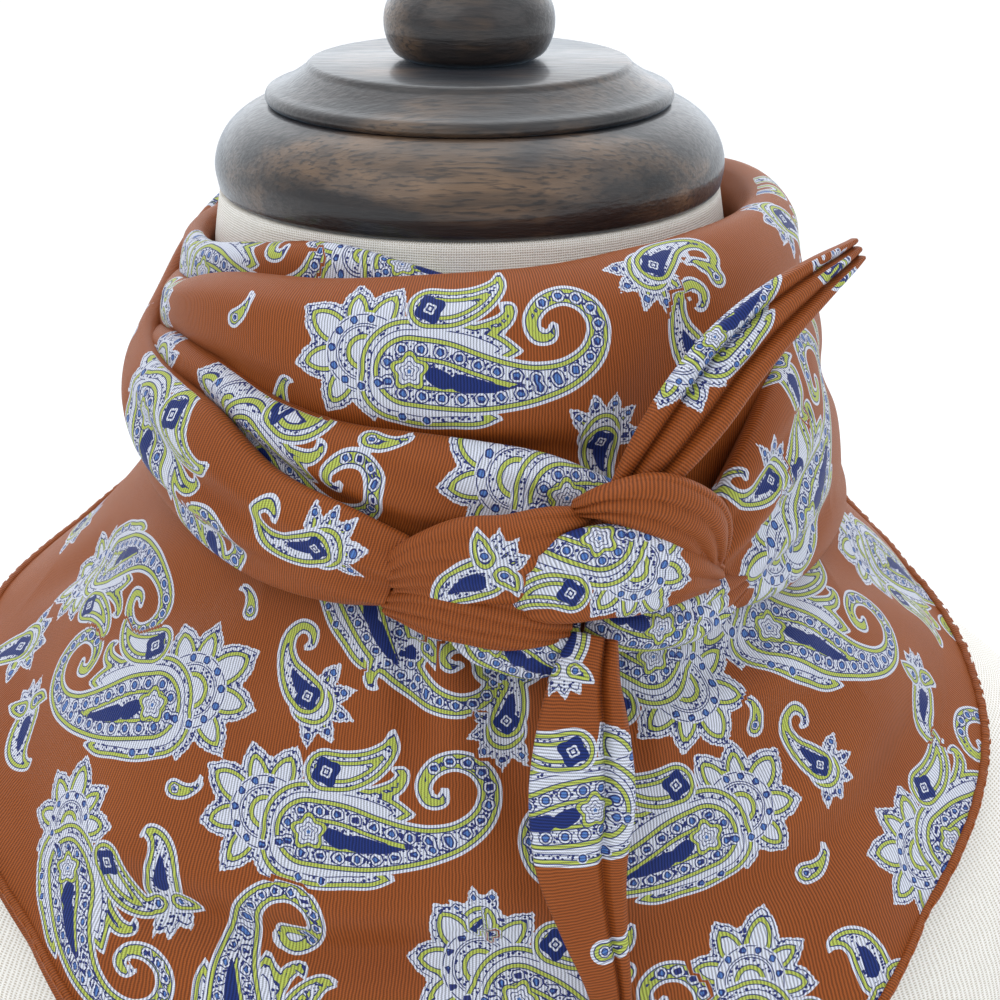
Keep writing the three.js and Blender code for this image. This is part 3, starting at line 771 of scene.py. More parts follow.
class Shader:
    """Builds one material's node tree."""

    def __init__(self, name: str) -> None:
        """Starts a material with a Principled shader."""
        self.material = bpy.data.materials.new(name)
        self.material.use_nodes = True
        self.tree = self.material.node_tree
        self.tree.nodes.clear()
        self.output = self.tree.nodes.new("ShaderNodeOutputMaterial")
        self.surface = self.tree.nodes.new("ShaderNodeBsdfPrincipled")
        self.tree.links.new(self.surface.outputs[0], self.output.inputs["Surface"])

    def node(self, kind: str, settings: Optional[dict] = None, out: Union[int, str] = 0, **sockets) -> Socket:
        """Adds a node.

        Args:
            kind: The node's type.
            settings: Its settings, set before its sockets.
            out: The output wanted.
            **sockets: Values or links by the input's name, with _ for a space.

        Returns:
            The wanted output.
        """
        node = self.tree.nodes.new(kind)
        for key, value in (settings or {}).items():
            if key == "stops":
                self._stops(node, value)
            else:
                setattr(node, key, value)
        for key, value in sockets.items():
            self._feed(node.inputs[key.replace("_", " ")], value)
        return Socket(self.tree, node.outputs[out])

    def _feed(self, socket: bpy.types.NodeSocket, value: Union[Socket, float, Sequence[float]]) -> None:
        """Links or sets one input."""
        if isinstance(value, Socket):
            self.tree.links.new(value.link, socket)
        elif socket.type == "RGBA" and len(value) == 3:
            socket.default_value = (*value, 1.0)
        else:
            socket.default_value = value

    @staticmethod
    def _stops(node: bpy.types.Node, stops: Sequence[tuple[float, Colour]]) -> None:
        """Sets a ramp's stops."""
        ramp = node.color_ramp
        while len(ramp.elements) > 1:
            ramp.elements.remove(ramp.elements[-1])
        for k, (place, colour) in enumerate(stops):
            element = ramp.elements[0] if k == 0 else ramp.elements.new(place)
            element.position = place
            element.color = (*colour, 1.0)

    def set(self, **values: Union[Socket, float, Sequence[float]]) -> None:
        """Sets or links the surface shader's inputs."""
        for key, value in values.items():
            self._feed(self.surface.inputs[key.replace("_", " ")], value)

    def blend(self, factor: Value, first: Union[Socket, Colour], second: Union[Socket, Colour]) -> Socket:
        """Mixes two colours."""
        node = self.tree.nodes.new("ShaderNodeMix")
        node.data_type = "RGBA"
        self._feed(node.inputs[0], factor)
        self._feed(node.inputs[6], first)
        self._feed(node.inputs[7], second)
        return Socket(self.tree, node.outputs[2])

    def tinted(self, colour: Socket, shade: Value) -> Socket:
        """Multiplies a colour by a grey value."""
        node = self.tree.nodes.new("ShaderNodeVectorMath")
        node.operation = "SCALE"
        self.tree.links.new(colour.link, node.inputs[0])
        self._feed(node.inputs["Scale"], shade)
        return Socket(self.tree, node.outputs[0])

    def bands(self, depth: Socket, reach: float, stops: Sequence[tuple[float, Colour]]) -> Socket:
        """Colours a depth in crisp bands.

        Args:
            depth: Depth in millimetres.
            reach: Depth of the last band's far end.
            stops: Depth where each band starts, and its colour.

        Returns:
            The colour.
        """
        scaled = [(start / reach, colour) for start, colour in stops]
        node = self.tree.nodes.new("ShaderNodeValToRGB")
        node.color_ramp.interpolation = "CONSTANT"
        self._stops(node, scaled)
        self.tree.links.new((depth / reach).link, node.inputs[0])
        return Socket(self.tree, node.outputs[0])

    def vector(self, attribute: str) -> tuple[Socket, Socket, Socket]:
        """Reads the three numbers of a mesh attribute."""
        whole = self.node("ShaderNodeAttribute", {"attribute_name": attribute}, "Vector")
        return self.split(whole)

    def split(self, whole: Socket) -> tuple[Socket, Socket, Socket]:
        """Splits a vector."""
        node = self.tree.nodes.new("ShaderNodeSeparateXYZ")
        self.tree.links.new(whole.link, node.inputs[0])
        return tuple(Socket(self.tree, out) for out in node.outputs)

    def bump(self, height: Socket, distance: float, strength: float) -> Socket:
        """Turns a height into a normal."""
        sizes = {"Distance": distance, "Strength": strength}
        return self.node("ShaderNodeBump", None, "Normal", Height=height, **sizes)


# ---------------------------------------------------------------- finishes
@dataclass(frozen=True)
class PrintInks:
    """Inks of the paisley print."""

    ground: Colour = srgb(166, 88, 34)
    ground_deep: Colour = srgb(146, 72, 26)
    white: Colour = srgb(222, 226, 240)
    line: Colour = srgb(44, 54, 118)
    green: Colour = srgb(188, 200, 92)
    blue: Colour = srgb(84, 124, 192)
    navy: Colour = srgb(24, 46, 116)


@dataclass(frozen=True)
class SilkTwill:
    """Printed silk twill.

    Attributes:
        inks: Its colours.
        rib_pitch: Distance between twill ribs, in millimetres.
        thread_pitch: Distance between threads along a rib.
        printed: False for plain cloth, as on the hems.
        name: The material's name.
    """

    inks: PrintInks = PrintInks()
    rib_pitch: float = 0.6
    thread_pitch: float = 0.42
    printed: bool = True
    name: str = "printed_silk_twill"

    def build(self) -> bpy.types.Material:
        """Makes the material."""
        s = Shader(self.name)
        flat = s.node("ShaderNodeUVMap", {"uv_map": "cloth"})
        along, across, _ = s.split(flat)
        slub = s.node("ShaderNodeTexNoise", None, "Fac", Vector=flat, Scale=0.35, Detail=3.0)
        place = along + slub * 0.5
        rib = (place * (2 * math.pi / self.rib_pitch)).sine() * 0.5 + 0.5
        thread = (across * (2 * math.pi / self.thread_pitch) + place * 9.0).sine() * 0.5 + 0.5
        weave = rib * 0.78 + thread * 0.22
        patch = s.node("ShaderNodeTexNoise", None, "Fac", Vector=flat, Scale=0.03, Detail=2.0)
        colour = s.blend(patch, self.inks.ground_deep, self.inks.ground)
        if self.printed:
            colour = self._printed(s, colour, flat)
        # Painted shade: the light and shade of the twill's ribs and threads are multiplied into the base
        # colour.
        shade = weave * 0.8 + 0.36
        s.set(
            Base_Color=s.tinted(colour, shade),
            Roughness=0.62 - weave * 0.16,
            Specular_IOR_Level=0.22,
            Sheen_Weight=0.05,
            Sheen_Roughness=0.35,
            Sheen_Tint=(1.0, 0.86, 0.74),
            Normal=s.bump(weave + slub * 0.4, 0.00011, 0.75),
        )
        return s.material

    def _printed(self, s: Shader, ground: Socket, flat: Socket) -> Socket:
        """Lays the layers of ink over the ground, one after another.

        Args:
            s: The shader.
            ground: Colour of the ground.
            flat: Place on the flat cloth.

        Returns:
            The printed colour.
        """
        inks = self.inks
        petal, fan, vine = s.vector("low_inks")
        body, leaf, seed = s.vector("high_inks")
        bead = s.node("ShaderNodeAttribute", {"attribute_name": "beads"}, "Fac")
        speck = s.node("ShaderNodeTexVoronoi", None, "Distance", Vector=flat, Scale=1.25, Randomness=0.8)
        lace = (speck - 0.35) * 0.5
        stipple = s.blend(speck < 0.4, inks.white, inks.line)
        ragged = petal + lace * (petal < 0.7)
        plain = {"w": inks.white, "l": inks.line, "g": inks.green, "n": inks.navy}

        def banded(colour: Socket, depth: Socket, stops: str) -> Socket:
            """Lays one layer's bands: letters for inks, each followed by the depth where it ends."""
            parts = stops.split()
            starts = [0.0, *[float(end) for end in parts[1:-1:2]]]
            reach = starts[-1] + 1.0
            ink = s.bands(depth, reach, [(start, plain[key[0]]) for start, key in zip(starts, parts[::2])])
            for start, end, key in zip(starts, [*starts[1:], reach * 9], parts[::2]):
                if key == "ws":
                    ink = s.blend((depth > start) * (depth < end), ink, stipple)
            return s.blend(depth > 0.0, colour, ink)

        colour = banded(ground, ragged, "w 0.45 l 0.66 ws 1.3 l 1.52 g 2.2 l 2.4 w 9")
        colour = banded(colour, fan, "w 0.35 l 0.56 w 2.2 l 2.4 w 2.7 l 2.9 ws 4.2 l 4.4 g 5.2 l 5.4 w 9")
        colour = banded(colour, vine, "w 0.5 l 0.7 g 1.4 l 1.6 ws 2.5 l 2.7 w 9")
        colour = banded(colour, body, "w 0.6 l 0.82 g 1.55 l 1.77 ws 4.35 l 4.57 g 5.2 l 5.42 ws 9")
        colour = banded(colour, leaf, "w 0.5 l 0.7 g 1.35 l 1.55 ws 2.1 l 2.3 g 2.9 l 3.1 w 9")
        colour = banded(colour, seed, "l 0.15 n 9")
        rings = [(0, inks.blue), (0.63, inks.line), (0.87, inks.white), (1.2, inks.line)]
        round_bead = s.bands(bead, 1.5, rings)
        colour = s.blend(bead < (body > 0.9) * 0.32 + 1.1, colour, round_bead)
        return self._marked(s, colour)

    def _marked(self, s: Shader, colour: Socket) -> Socket:
        """Lays the flowers and rosettes over the layers."""
        inks = self.inks
        mark_x, mark_y, kind = s.vector("marks")
        away = (mark_x * mark_x + mark_y * mark_y).power(0.5)
        angle = mark_y.maths("ARCTAN2", mark_x)
        four = (angle * 4.0).sine() * 0.13 + 0.87
        five = (angle * 5.0).sine() * 0.14 + 0.86
        flower = [(0, inks.white), (0.45, inks.navy), (0.85, inks.white), (1.3, inks.navy)]
        rosette = [
            (0, inks.blue), (0.45, inks.white), (0.88, inks.line), (1.1, inks.white), (1.78, inks.line),
            (2.0, inks.white), (2.75, inks.line), (3.0, inks.green), (3.75, inks.line),
        ]
        figures = ((Mark.FLOWER, four, 3.1, flower), (Mark.ROSETTE, five, 4.0, rosette))
        for mark, lobes, reach, stops in figures:
            depth = away / lobes
            this = (kind - float(mark.value)).size() < 0.3
            colour = s.blend(this * (depth < reach), colour, s.bands(depth, reach + 0.5, stops))
        return colour


@dataclass(frozen=True)
class Linen:
    """Natural linen with an open weave, stretched round the form.

    Attributes:
        name: The material's name.
        thread: Distance between threads, in millimetres.
        neck: Radius at which the threads have that distance.
        light: Colour of a thread.
        dark: Colour of the painted shade between threads.
    """

    name: str = "natural_linen"
    thread: float = 0.52
    neck: float = 58.0
    light: Colour = srgb(248, 245, 239)
    dark: Colour = srgb(196, 184, 166)

    def build(self) -> bpy.types.Material:
        """Makes the material."""
        s = Shader(self.name)
        place = s.node("ShaderNodeTexCoord", None, "Object")
        x, y, z = s.split(place)
        around = y.maths("ARCTAN2", x) * self.neck
        up = z * (1 / MM)
        drift = s.node("ShaderNodeTexNoise", None, "Fac", Vector=place, Scale=160.0, Detail=3.0)
        turn = 2 * math.pi / self.thread
        warp = ((around + drift * 0.5) * turn).sine() * 0.5 + 0.5
        weft = ((up + drift * 0.4) * turn).sine() * 0.5 + 0.5
        slub = s.node("ShaderNodeTexNoise", None, "Fac", Vector=place, Scale=900.0, Detail=2.0)
        weave = warp.most(weft) * 0.65 + warp * weft * 0.35
        # Painted shade: the gaps between threads darken the colour towards dark, and slubs add a random tone.
        hole = (1.0 - warp) * (1.0 - weft)
        colour = s.blend((hole * 1.05 + slub * 0.28 - 0.15).most(0.0).least(1.0), self.light, self.dark)
        s.set(
            Base_Color=colour,
            Roughness=0.9,
            Specular_IOR_Level=0.2,
            Sheen_Weight=0.12,
            Normal=s.bump(weave + slub * 0.3, 0.0002, 0.8),
        )
        return s.material


@dataclass(frozen=True)
class StainedWood:
    """Dark stained wood, turned, satin, with lighter patches where the stain took less."""

    name: str = "stained_wood"
    dark: Colour = srgb(22, 20, 22)
    mid: Colour = srgb(48, 40, 38)
    light: Colour = srgb(150, 116, 82)

    def build(self) -> bpy.types.Material:
        """Makes the material."""
        s = Shader(self.name)
        place = s.node("ShaderNodeTexCoord", None, "Object")
        stretched = s.node("ShaderNodeMapping", None, 0, Vector=place, Scale=(16.0, 70.0, 130.0))
        grain = {"Scale": 1.0, "Detail": 6.0, "Distortion": 0.7}
        figure = s.node("ShaderNodeTexNoise", None, "Fac", Vector=stretched, **grain)
        fine = s.node("ShaderNodeMapping", None, 0, Vector=place, Scale=(160.0, 900.0, 1500.0))
        pores = s.node("ShaderNodeTexNoise", None, "Fac", Vector=fine, Scale=1.0, Detail=4.0)
        patches = s.node("ShaderNodeMapping", None, 0, Vector=place, Scale=(30.0, 30.0, 60.0))
        worn = s.node("ShaderNodeTexNoise", None, "Fac", Vector=patches, Scale=1.0, Detail=3.0)
        tone = ((figure - 0.34) * 3.4).least(1.0).most(0.0)
        colour = s.blend(tone, self.dark, self.mid)
        pale = ((worn - 0.5) * 6.5).most(0.0).least(1.0) * ((figure - 0.3) * 1.8).most(0.0).least(1.0)
        colour = s.blend(pale * 0.8, colour, self.light)
        colour = s.blend(((pores - 0.5) * 7.0).most(0.0).least(1.0) * 0.75, colour, self.dark)
        s.set(
            Base_Color=colour,
            Roughness=0.26 + pores * 0.36,
            Specular_IOR_Level=0.42,
            Coat_Weight=0.5,
            Coat_Roughness=0.15,
            # Painted reflection: the bluish sheen tint stands in for the window's light reflected at grazing
            # angles on the top faces.
            Sheen_Weight=0.22,
            Sheen_Roughness=0.3,
            Sheen_Tint=(0.55, 0.76, 1.0),
            Normal=s.bump(pores * 0.7 + figure * 0.3, 0.0005, 0.6),
        )
        return s.material


# ---------------------------------------------------------------- tables of the wound cloth
FRONT_BAND = (
    (-94, 66, -20, -92, 67, -40, 2, 2.1, 6, 3),
    (-72, 70, -16, -70, 71.5, -34, 3, 2.4, 8, 3),
    (-58, 74, -13, -54, 77, -25, 3, 3.2, 9, 3),
    (-44, 75.5, -8, -40, 81, -29, 5, 3.6, 11, 4),
    (-26, 77, -5, -24, 84, -32, 7, 4.6, 13, 5),
    (-6, 78, -2.2, -6, 86, -37, 8, 5.4, 15, 6),
    (12, 78, -0.8, 12, 88, -45, 9, 5.8, 17, 6),
    (28, 77.5, 1, 30, 87, -51, 8, 6, 18, 6),
    (44, 76, 1.6, 47, 83, -52, 7, 6, 18, 6),
    (64, 73.5, 1.2, 67, 78, -48, 5, 5.4, 16, 5),
    (88, 71.5, 0.4, 90, 75, -48, 4, 4.6, 14, 4),
    (110, 70.5, -0.6, 112, 74, -46, 4, 3.8, 12, 4),
    (134, 69.4, -3.6, 134, 72.4, -44, 2.6, 2.8, 10, 3),
    (152, 66.6, -8, 152, 69, -43, 1.6, 2.1, 7, 3),
)
INNER_ROLL = (
    (-128, 64.4, -10, -128, 65.4, -26, 0.6, 2.1, 5, 1),
    (-96, 64.6, -9, -96, 66, -24, 0.8, 2.1, 5, 1),
    (-66, 66, -7, -66, 69, -23, 1.2, 2.4, 6, 2),
    (-46, 66, -3, -46, 69, -21, 1.6, 2.6, 7, 2),
    (-27, 65.5, 0, -27, 68.5, -19, 1.8, 2.6, 7, 2),
    (-11, 65, -3.2, -12, 68, -19, 1.6, 2.4, 7, 2),
    (8, 65, -9, 4, 67.5, -22, 1.2, 2.1, 6, 2),
    (26, 64.6, -13, 22, 67, -25, 0.8, 2.1, 5, 1),
)
LEFT_FOLD = (
    (-84, 71.5, -30, -82, 72, -44, 1.5, 2.1, 5, 2),
    (-66, 76.5, -25, -66, 77, -38, 2, 2.6, 6, 3),
    (-50, 82, -21, -46, 84, -31, 2.5, 3, 7, 3),
    (-37, 86.5, -22, -35, 87.5, -36, 3, 3.4, 7, 4),
    (-26, 90.5, -26, -25, 91, -43, 4, 3.8, 7, 4),
    (-15, 94, -28, -17, 93, -49, 4.5, 4, 7, 5),
    (-3, 97, -29, -7, 96, -52, 5, 4, 7, 5),
    (8, 99, -32, 4, 98, -52, 4.5, 3.8, 7, 5),
    (17, 100, -39, 13, 100, -53, 3, 3, 6, 4),
)
LEFT_WRAP = (
    (-214, 73.5, -6, -214, 75, -44, 3, 2.4, 8, 3),
    (-190, 72.5, -4, -190, 75.5, -46, 3.6, 3, 10, 3),
    (-165, 71, -3, -165, 74.5, -50, 3.4, 3, 10, 3),
    (-140, 69.5, -4, -140, 73, -55, 2.8, 2.8, 10, 3),
    (-116, 68.2, -8, -116, 71.5, -59, 2.2, 2.4, 9, 3),
    (-96, 69, -14, -94, 72.5, -61, 1.8, 2.2, 8, 3),
    (-80, 73, -20, -76, 75.5, -61, 2, 2.4, 7, 3),
    (-64, 81, -24, -60, 81.5, -58, 3.4, 2.8, 7, 4),
    (-49, 89, -25, -47, 87.5, -57, 5, 3.4, 7, 4),
    (-35, 95, -28, -35, 93, -60, 6, 3.6, 7, 5),
    (-24, 99.5, -37, -26, 97, -62, 5, 3.6, 7, 5),
    (-14, 102.5, -42, -17, 99.5, -63, 4, 3.2, 7, 5),
    (-7, 103.5, -47, -10, 101, -62, 3, 3, 6, 4),
)
RIGHT_WRAP = (
    (28, 100, -48, 29, 100, -69, 4, 3, 6, 4),
    (35, 97, -37, 36, 98, -72, 5, 3.4, 7, 5),
    (44, 91.5, -28, 46, 95, -73, 5, 3.6, 7, 5),
    (55, 84.5, -22, 58, 92, -73, 4, 3.2, 7, 5),
    (70, 78.5, -18, 72, 90, -72, 3, 2.8, 7, 5),
    (88, 75.8, -16, 88, 88, -71, 2.4, 2.6, 7, 4),
    (108, 74.2, -20, 108, 85, -70, 2.4, 2.4, 6, 4),
    (130, 73.4, -26, 130, 81, -70, 2.6, 2.4, 6, 3),
    (154, 71.5, -33, 154, 79, -71, 2.6, 2.4, 5, 2),
    (180, 70.5, -35, 180, 78.5, -71, 2.6, 2.4, 5, 2),
    (206, 70, -33, 206, 77, -68, 2.4, 2.4, 5, 2),
    (232, 69, -30, 232, 75, -63, 2, 2.4, 5, 2),
)


@dataclass(frozen=True)
class Gather:
    """Fine pleats that deepen towards one end of a stretch.

    Attributes:
        count: Pleats across the stretch.
        depth: Depth at the gathered end.
        reach: Share of the length over which they fade.
        at_start: True where the first section is the gathered end.
    """

    count: float
    depth: float
    reach: float
    at_start: bool = False


@dataclass
class WoundStretch:
    """A stretch of the bandana wound round the neck.

    Attributes:
        name: The CAD node it stands for.
        rows: Sections: azimuth, radius and height of the top edge and of the lower edge, bulge
            between them, radius of the rolled edge, length inside it and how far the edge tucks in.
        flat: Length and width of the cloth that shows, in metres; not used.
        creases: Creases drawn on it.
        gather: Pleats at its knotted end.
        prints: Motifs on it.
        spacing: Distance between the grid's points, in millimetres.
        thickness: Thickness of the wall.
    """

    name: str
    rows: Sequence[Row]
    flat: tuple[float, float]
    creases: Sequence[Crease] = ()
    gather: Optional[Gather] = None
    prints: Sequence[Print] = ()
    spacing: float = 0.8
    thickness: float = 0.9

    def controls(self, rows: Array) -> Array:
        """Control points of every section, as azimuth, radius and height."""
        az_top, r_top, top, az_low, r_low, low, bulge, roll, inside, tuck = rows.T
        fall = np.hypot(top - low, r_top - r_low)
        out_r, out_z = (top - low) / fall, -(r_top - r_low) / fall

        def between(f: float, share: float) -> Array:
            """A point between the two edges, bulged out."""
            out = share * bulge
            return np.stack(
                [
                    az_top + (az_low - az_top) * f,
                    r_top + (r_low - r_top) * f + out * out_r,
                    top + (low - top) * f + out * out_z,
                ],
                axis=-1,
            )

        return np.stack(
            [
                np.stack([az_top, r_top - 2 * roll, top - roll - inside], axis=-1),
                np.stack([az_top, r_top - 2 * roll, top - roll], axis=-1),
                np.stack([az_top, r_top - 1.5 * roll, top - 0.25 * roll], axis=-1),
                np.stack([az_top, r_top - 0.8 * roll, top], axis=-1),
                between(0.12, 0.55),
                between(0.32, 0.92),
                between(0.56, 1.0),
                between(0.8, 0.7),
                np.stack([az_low, r_low, low], axis=-1),
                np.stack([az_low, r_low - 0.7 * tuck, low - 0.1 * tuck], axis=-1),
                np.stack([az_low, r_low - 1.2 * tuck, low + 0.5 * tuck], axis=-1),
            ]
        )

    def grid(self) -> ClothGrid:
        """The outer face, creased and gathered."""
        sketch = self.controls(rows_at(self.rows, 80))
        placed = round_neck(sketch[..., 0], sketch[..., 1], sketch[..., 2])
        length = np.linalg.norm(np.diff(placed, axis=1), axis=-1).sum(axis=1).max()
        gaps = np.linalg.norm(np.diff(placed, axis=0), axis=-1).mean(axis=1)
        knots = np.concatenate([[0.0], np.cumsum(gaps)])
        lines = 2 * int(length / self.spacing / 2) + 1
        count = 2 * int(knots[-1] / self.spacing / 2) + 1
        controls = self.controls(rows_at(self.rows, lines))
        across = spline(knots, controls, np.linspace(0, knots[-1], count))
        points = round_neck(across[..., 0], across[..., 1], across[..., 2]).swapaxes(0, 1)
        grid = ClothGrid(np.ascontiguousarray(points)).pressed(self.creases)
        return self._gathered(grid)

    def _gathered(self, grid: ClothGrid) -> ClothGrid:
        """Pleats the knotted end."""
        if self.gather is None:
            return grid
        lines, count = grid.points.shape[:2]
        t = np.linspace(0, 1, lines)[:, None]
        t = t if self.gather.at_start else 1 - t
        v = np.linspace(0, 1, count)[None, :]
        wave = np.sin(2 * np.pi * self.gather.count * v + 1.3 * np.sin(5.0 * v) + 2.2 * t)
        depth = self.gather.depth * (1 - ease(t, 0.0, self.gather.reach))
        return ClothGrid(grid.points + grid.normals() * (wave * depth)[..., None])

    def build(self) -> bpy.types.Object:
        """Makes the shell."""
        grid = self.grid()
        middle = grid.points.shape[1] // 2
        along = running_length(grid.points, 0)[:, middle : middle + 1]
        across = running_length(grid.points, 1)
        flat = np.stack([np.broadcast_to(along, across.shape), across], axis=-1)
        return cloth_shell(f"{self.name}_cloth", grid, self.thickness, self.prints, flat)

    def dress(self, piece: bpy.types.Object, silk: bpy.types.Material) -> None:
        """Gives the stretch its finish, hides the solid it stands for and hangs it on the body."""
        place_piece(piece, self.name, silk)


# ---------------------------------------------------------------- the bib over the chest
BIB = (
    (-132, 72, -56, -62, 58, -68, -72, 62, -80),
    (-108, 72.5, -58, -86, 30, -80, -100, 36, -96),
    (-84, 74, -60, -96, -6, -86, -119, 0, -106),
    (-64, 78, -60, -93, -42, -92, -116, -36, -116),
    (-48, 83, -59, -86, -72, -100, -108, -66, -128),
    (-34, 87, -60, -70, -96, -108, -82, -112, -146),
    (-20, 90, -62, -44, -111, -118, -44, -126, -186),
    (-4, 93, -64, -6, -117, -124, 5, -134, -228),
    (12, 93, -66, 34, -112, -120, 48, -126, -186),
    (28, 92, -68, 66, -98, -110, 84, -112, -146),
    (44, 90, -70, 88, -74, -102, 108, -66, -128),
    (62, 86, -70, 98, -44, -94, 116, -36, -114),
    (84, 80, -68, 100, -8, -88, 111, 0, -102),
    (108, 76, -66, 86, 30, -80, 97, 34, -92),
    (132, 74, -62, 64, 56, -68, 74, 60, -80),
)
FORM_ROWS = (
    (20.3, 110, 88, 76),
    (80, 128, 108, 82),
    (120, 144, 127, 88),
    (150, 155, 132, 92),
    (180, 160, 130, 94),
    (200, 155, 122, 93),
    (215, 145, 113, 91),
    (228, 130, 103, 88),
    (240, 113, 93, 84),
    (250, 98, 84, 80),
    (258, 87, 77, 76),
    (267, 77, 70, 71),
    (276, 70, 66, 67),
    (288, 64.5, 62.5, 63.5),
    (302, 61.5, 60.5, 61),
    (325, 59.5, 59.5, 59.5),
    (338, 59.2, 59.2, 59.2),
    (349.7, 57.5, 57.5, 57.5),
)
SEAM_HEIGHT = 350.0


def clear_form(points: Array, clearance: float) -> Array:
    """Pushes points out and up until they clear the linen.

    Args:
        points: Points in millimetres from the seam.
        clearance: Least distance to keep.

    Returns:
        The points, moved where they lay too near.
    """
    table = np.array(FORM_ROWS, float)
    radial = unit(points * np.array([1.0, 1.0, 0.0]))
    push = unit(radial + np.array([0.0, 0.0, 0.8]))
    out = points.copy()
    for _ in range(120):
        inner = out - push * clearance
        height = inner[..., 2] + SEAM_HEIGHT
        half = np.interp(height, table[:, 0], table[:, 1])
        front = np.interp(height, table[:, 0], table[:, 2])
        back = np.interp(height, table[:, 0], table[:, 3])
        depth = np.where(inner[..., 1] > 0, back, front)
        inside = np.hypot(inner[..., 0] / half, inner[..., 1] / depth) < 1
        if not inside.any():
            break
        out = out + push * np.where(inside, 0.3, 0.0)[..., None]
    return out


@dataclass
class Bib:
    """The folded square's corner, spread over the chest from under the wraps.

    Attributes:
        flat: Length and width of the cloth that shows, in metres; not used.
        area: Flat area of that cut, in square metres; not used.
        flat_under: Length and width of the lower layer's strip that shows; not used.
        lines: Spokes of the sheet.
        count: Points on a spoke.
        thickness: Thickness of the wall, in millimetres.
        clearance: Least distance from its outer face to the linen.
        creases: Creases drawn on it.
        prints: Motifs on it.
    """

    flat: tuple[float, float] = (0.42, 0.2)
    area: float = 0.043
    flat_under: tuple[float, float] = (0.16, 0.03)
    lines: int = 449
    count: int = 167
    thickness: float = 0.9
    clearance: float = 6.1
    creases: Sequence[Crease] = ()
    prints: Sequence[Print] = ()

    def spokes(self, start: float, end: float, lines: int, reach: tuple[float, float], count: int) -> Array:
        """Points of the sheet on spokes from the wraps to the hem.

        Args:
            start: Share of the table where the first spoke lies.
            end: Share where the last one lies.
            lines: How many spokes.
            reach: Shares of a spoke's length where its points start and end.
            count: Points on a spoke.

        Returns:
            A grid of points.
        """
        table = np.array(BIB, float)
        places = np.linspace(start, end, lines) * (len(table) - 1)
        rows = spline(np.arange(len(table), dtype=float), table, places)
        first = round_neck(rows[:, 0], rows[:, 1], rows[:, 2])
        middle, hem = rows[:, 3:6], rows[:, 6:9]
        handle = 2 * middle - 0.5 * first - 0.5 * hem
        f = np.linspace(reach[0], reach[1], count)[None, :, None]
        first, handle, hem = first[:, None], handle[:, None], hem[:, None]
        return (1 - f) ** 2 * first + 2 * f * (1 - f) * handle + f * f * hem

    def grid(self) -> ClothGrid:
        """The sheet's outer face, clear of the linen and creased."""
        points = clear_form(self.spokes(0, 1, self.lines, (0, 1), self.count), self.clearance)
        return ClothGrid(points).smoothed(12).pressed(self.creases)

    def build(self) -> bpy.types.Object:
        """Makes the sheet."""
        grid = self.grid()
        p = grid.points
        radius = np.hypot(p[..., 0], p[..., 1]).mean()
        around = np.arctan2(p[..., 0], -p[..., 1]) * radius
        down = running_length(p, 1)
        return cloth_shell("bib_cloth", grid, self.thickness, self.prints, np.stack([around, down], axis=-1))

    def build_under(self) -> bpy.types.Object:
        """Makes the strip of the lower layer that shows past the left hem."""
        points = self.spokes(0.16, 0.47, 121, (0.8, 1.06), 41)
        points[..., 2] -= 0.6
        points = clear_form(points, self.clearance - 1.0)
        grid = ClothGrid(points).smoothed(6).pressed(self.creases)
        down = running_length(points, 1)
        along = running_length(points, 0)
        flat = np.stack([along, down], axis=-1)
        return cloth_shell("bib_under_cloth", grid, self.thickness, (), flat)

    def dress(
        self,
        cloth: bpy.types.Object,
        under: bpy.types.Object,
        hems: list[bpy.types.Object],
        silk: bpy.types.Material,
    ) -> None:
        """Gives the sheet and its lower layer their finish, hides the solids they stand for and hangs them on
        the body.

        Args:
            cloth: The sheet.
            under: The strip of the lower layer.
            hems: The rolled hems on the sheet; not used.
            silk: Their finish.
        """
        place_piece(cloth, "bib", silk)
        place_piece(under, "bib_under", silk)

    def hem_line(self, start: float, end: float, count: int, past: float) -> Array:
        """Points just past the lower edge.

        Args:
            start: Share of the edge where the line starts.
            end: Share where it ends.
            count: How many points.
            past: Distance past the edge.

        Returns:
            The points.
        """
        p = self.grid().points
        edge = p[:, -1] + unit(p[:, -1] - p[:, -4]) * past
        places = np.linspace(start, end, count) * (len(edge) - 1)
        return spline(np.arange(len(edge), dtype=float), edge, places)


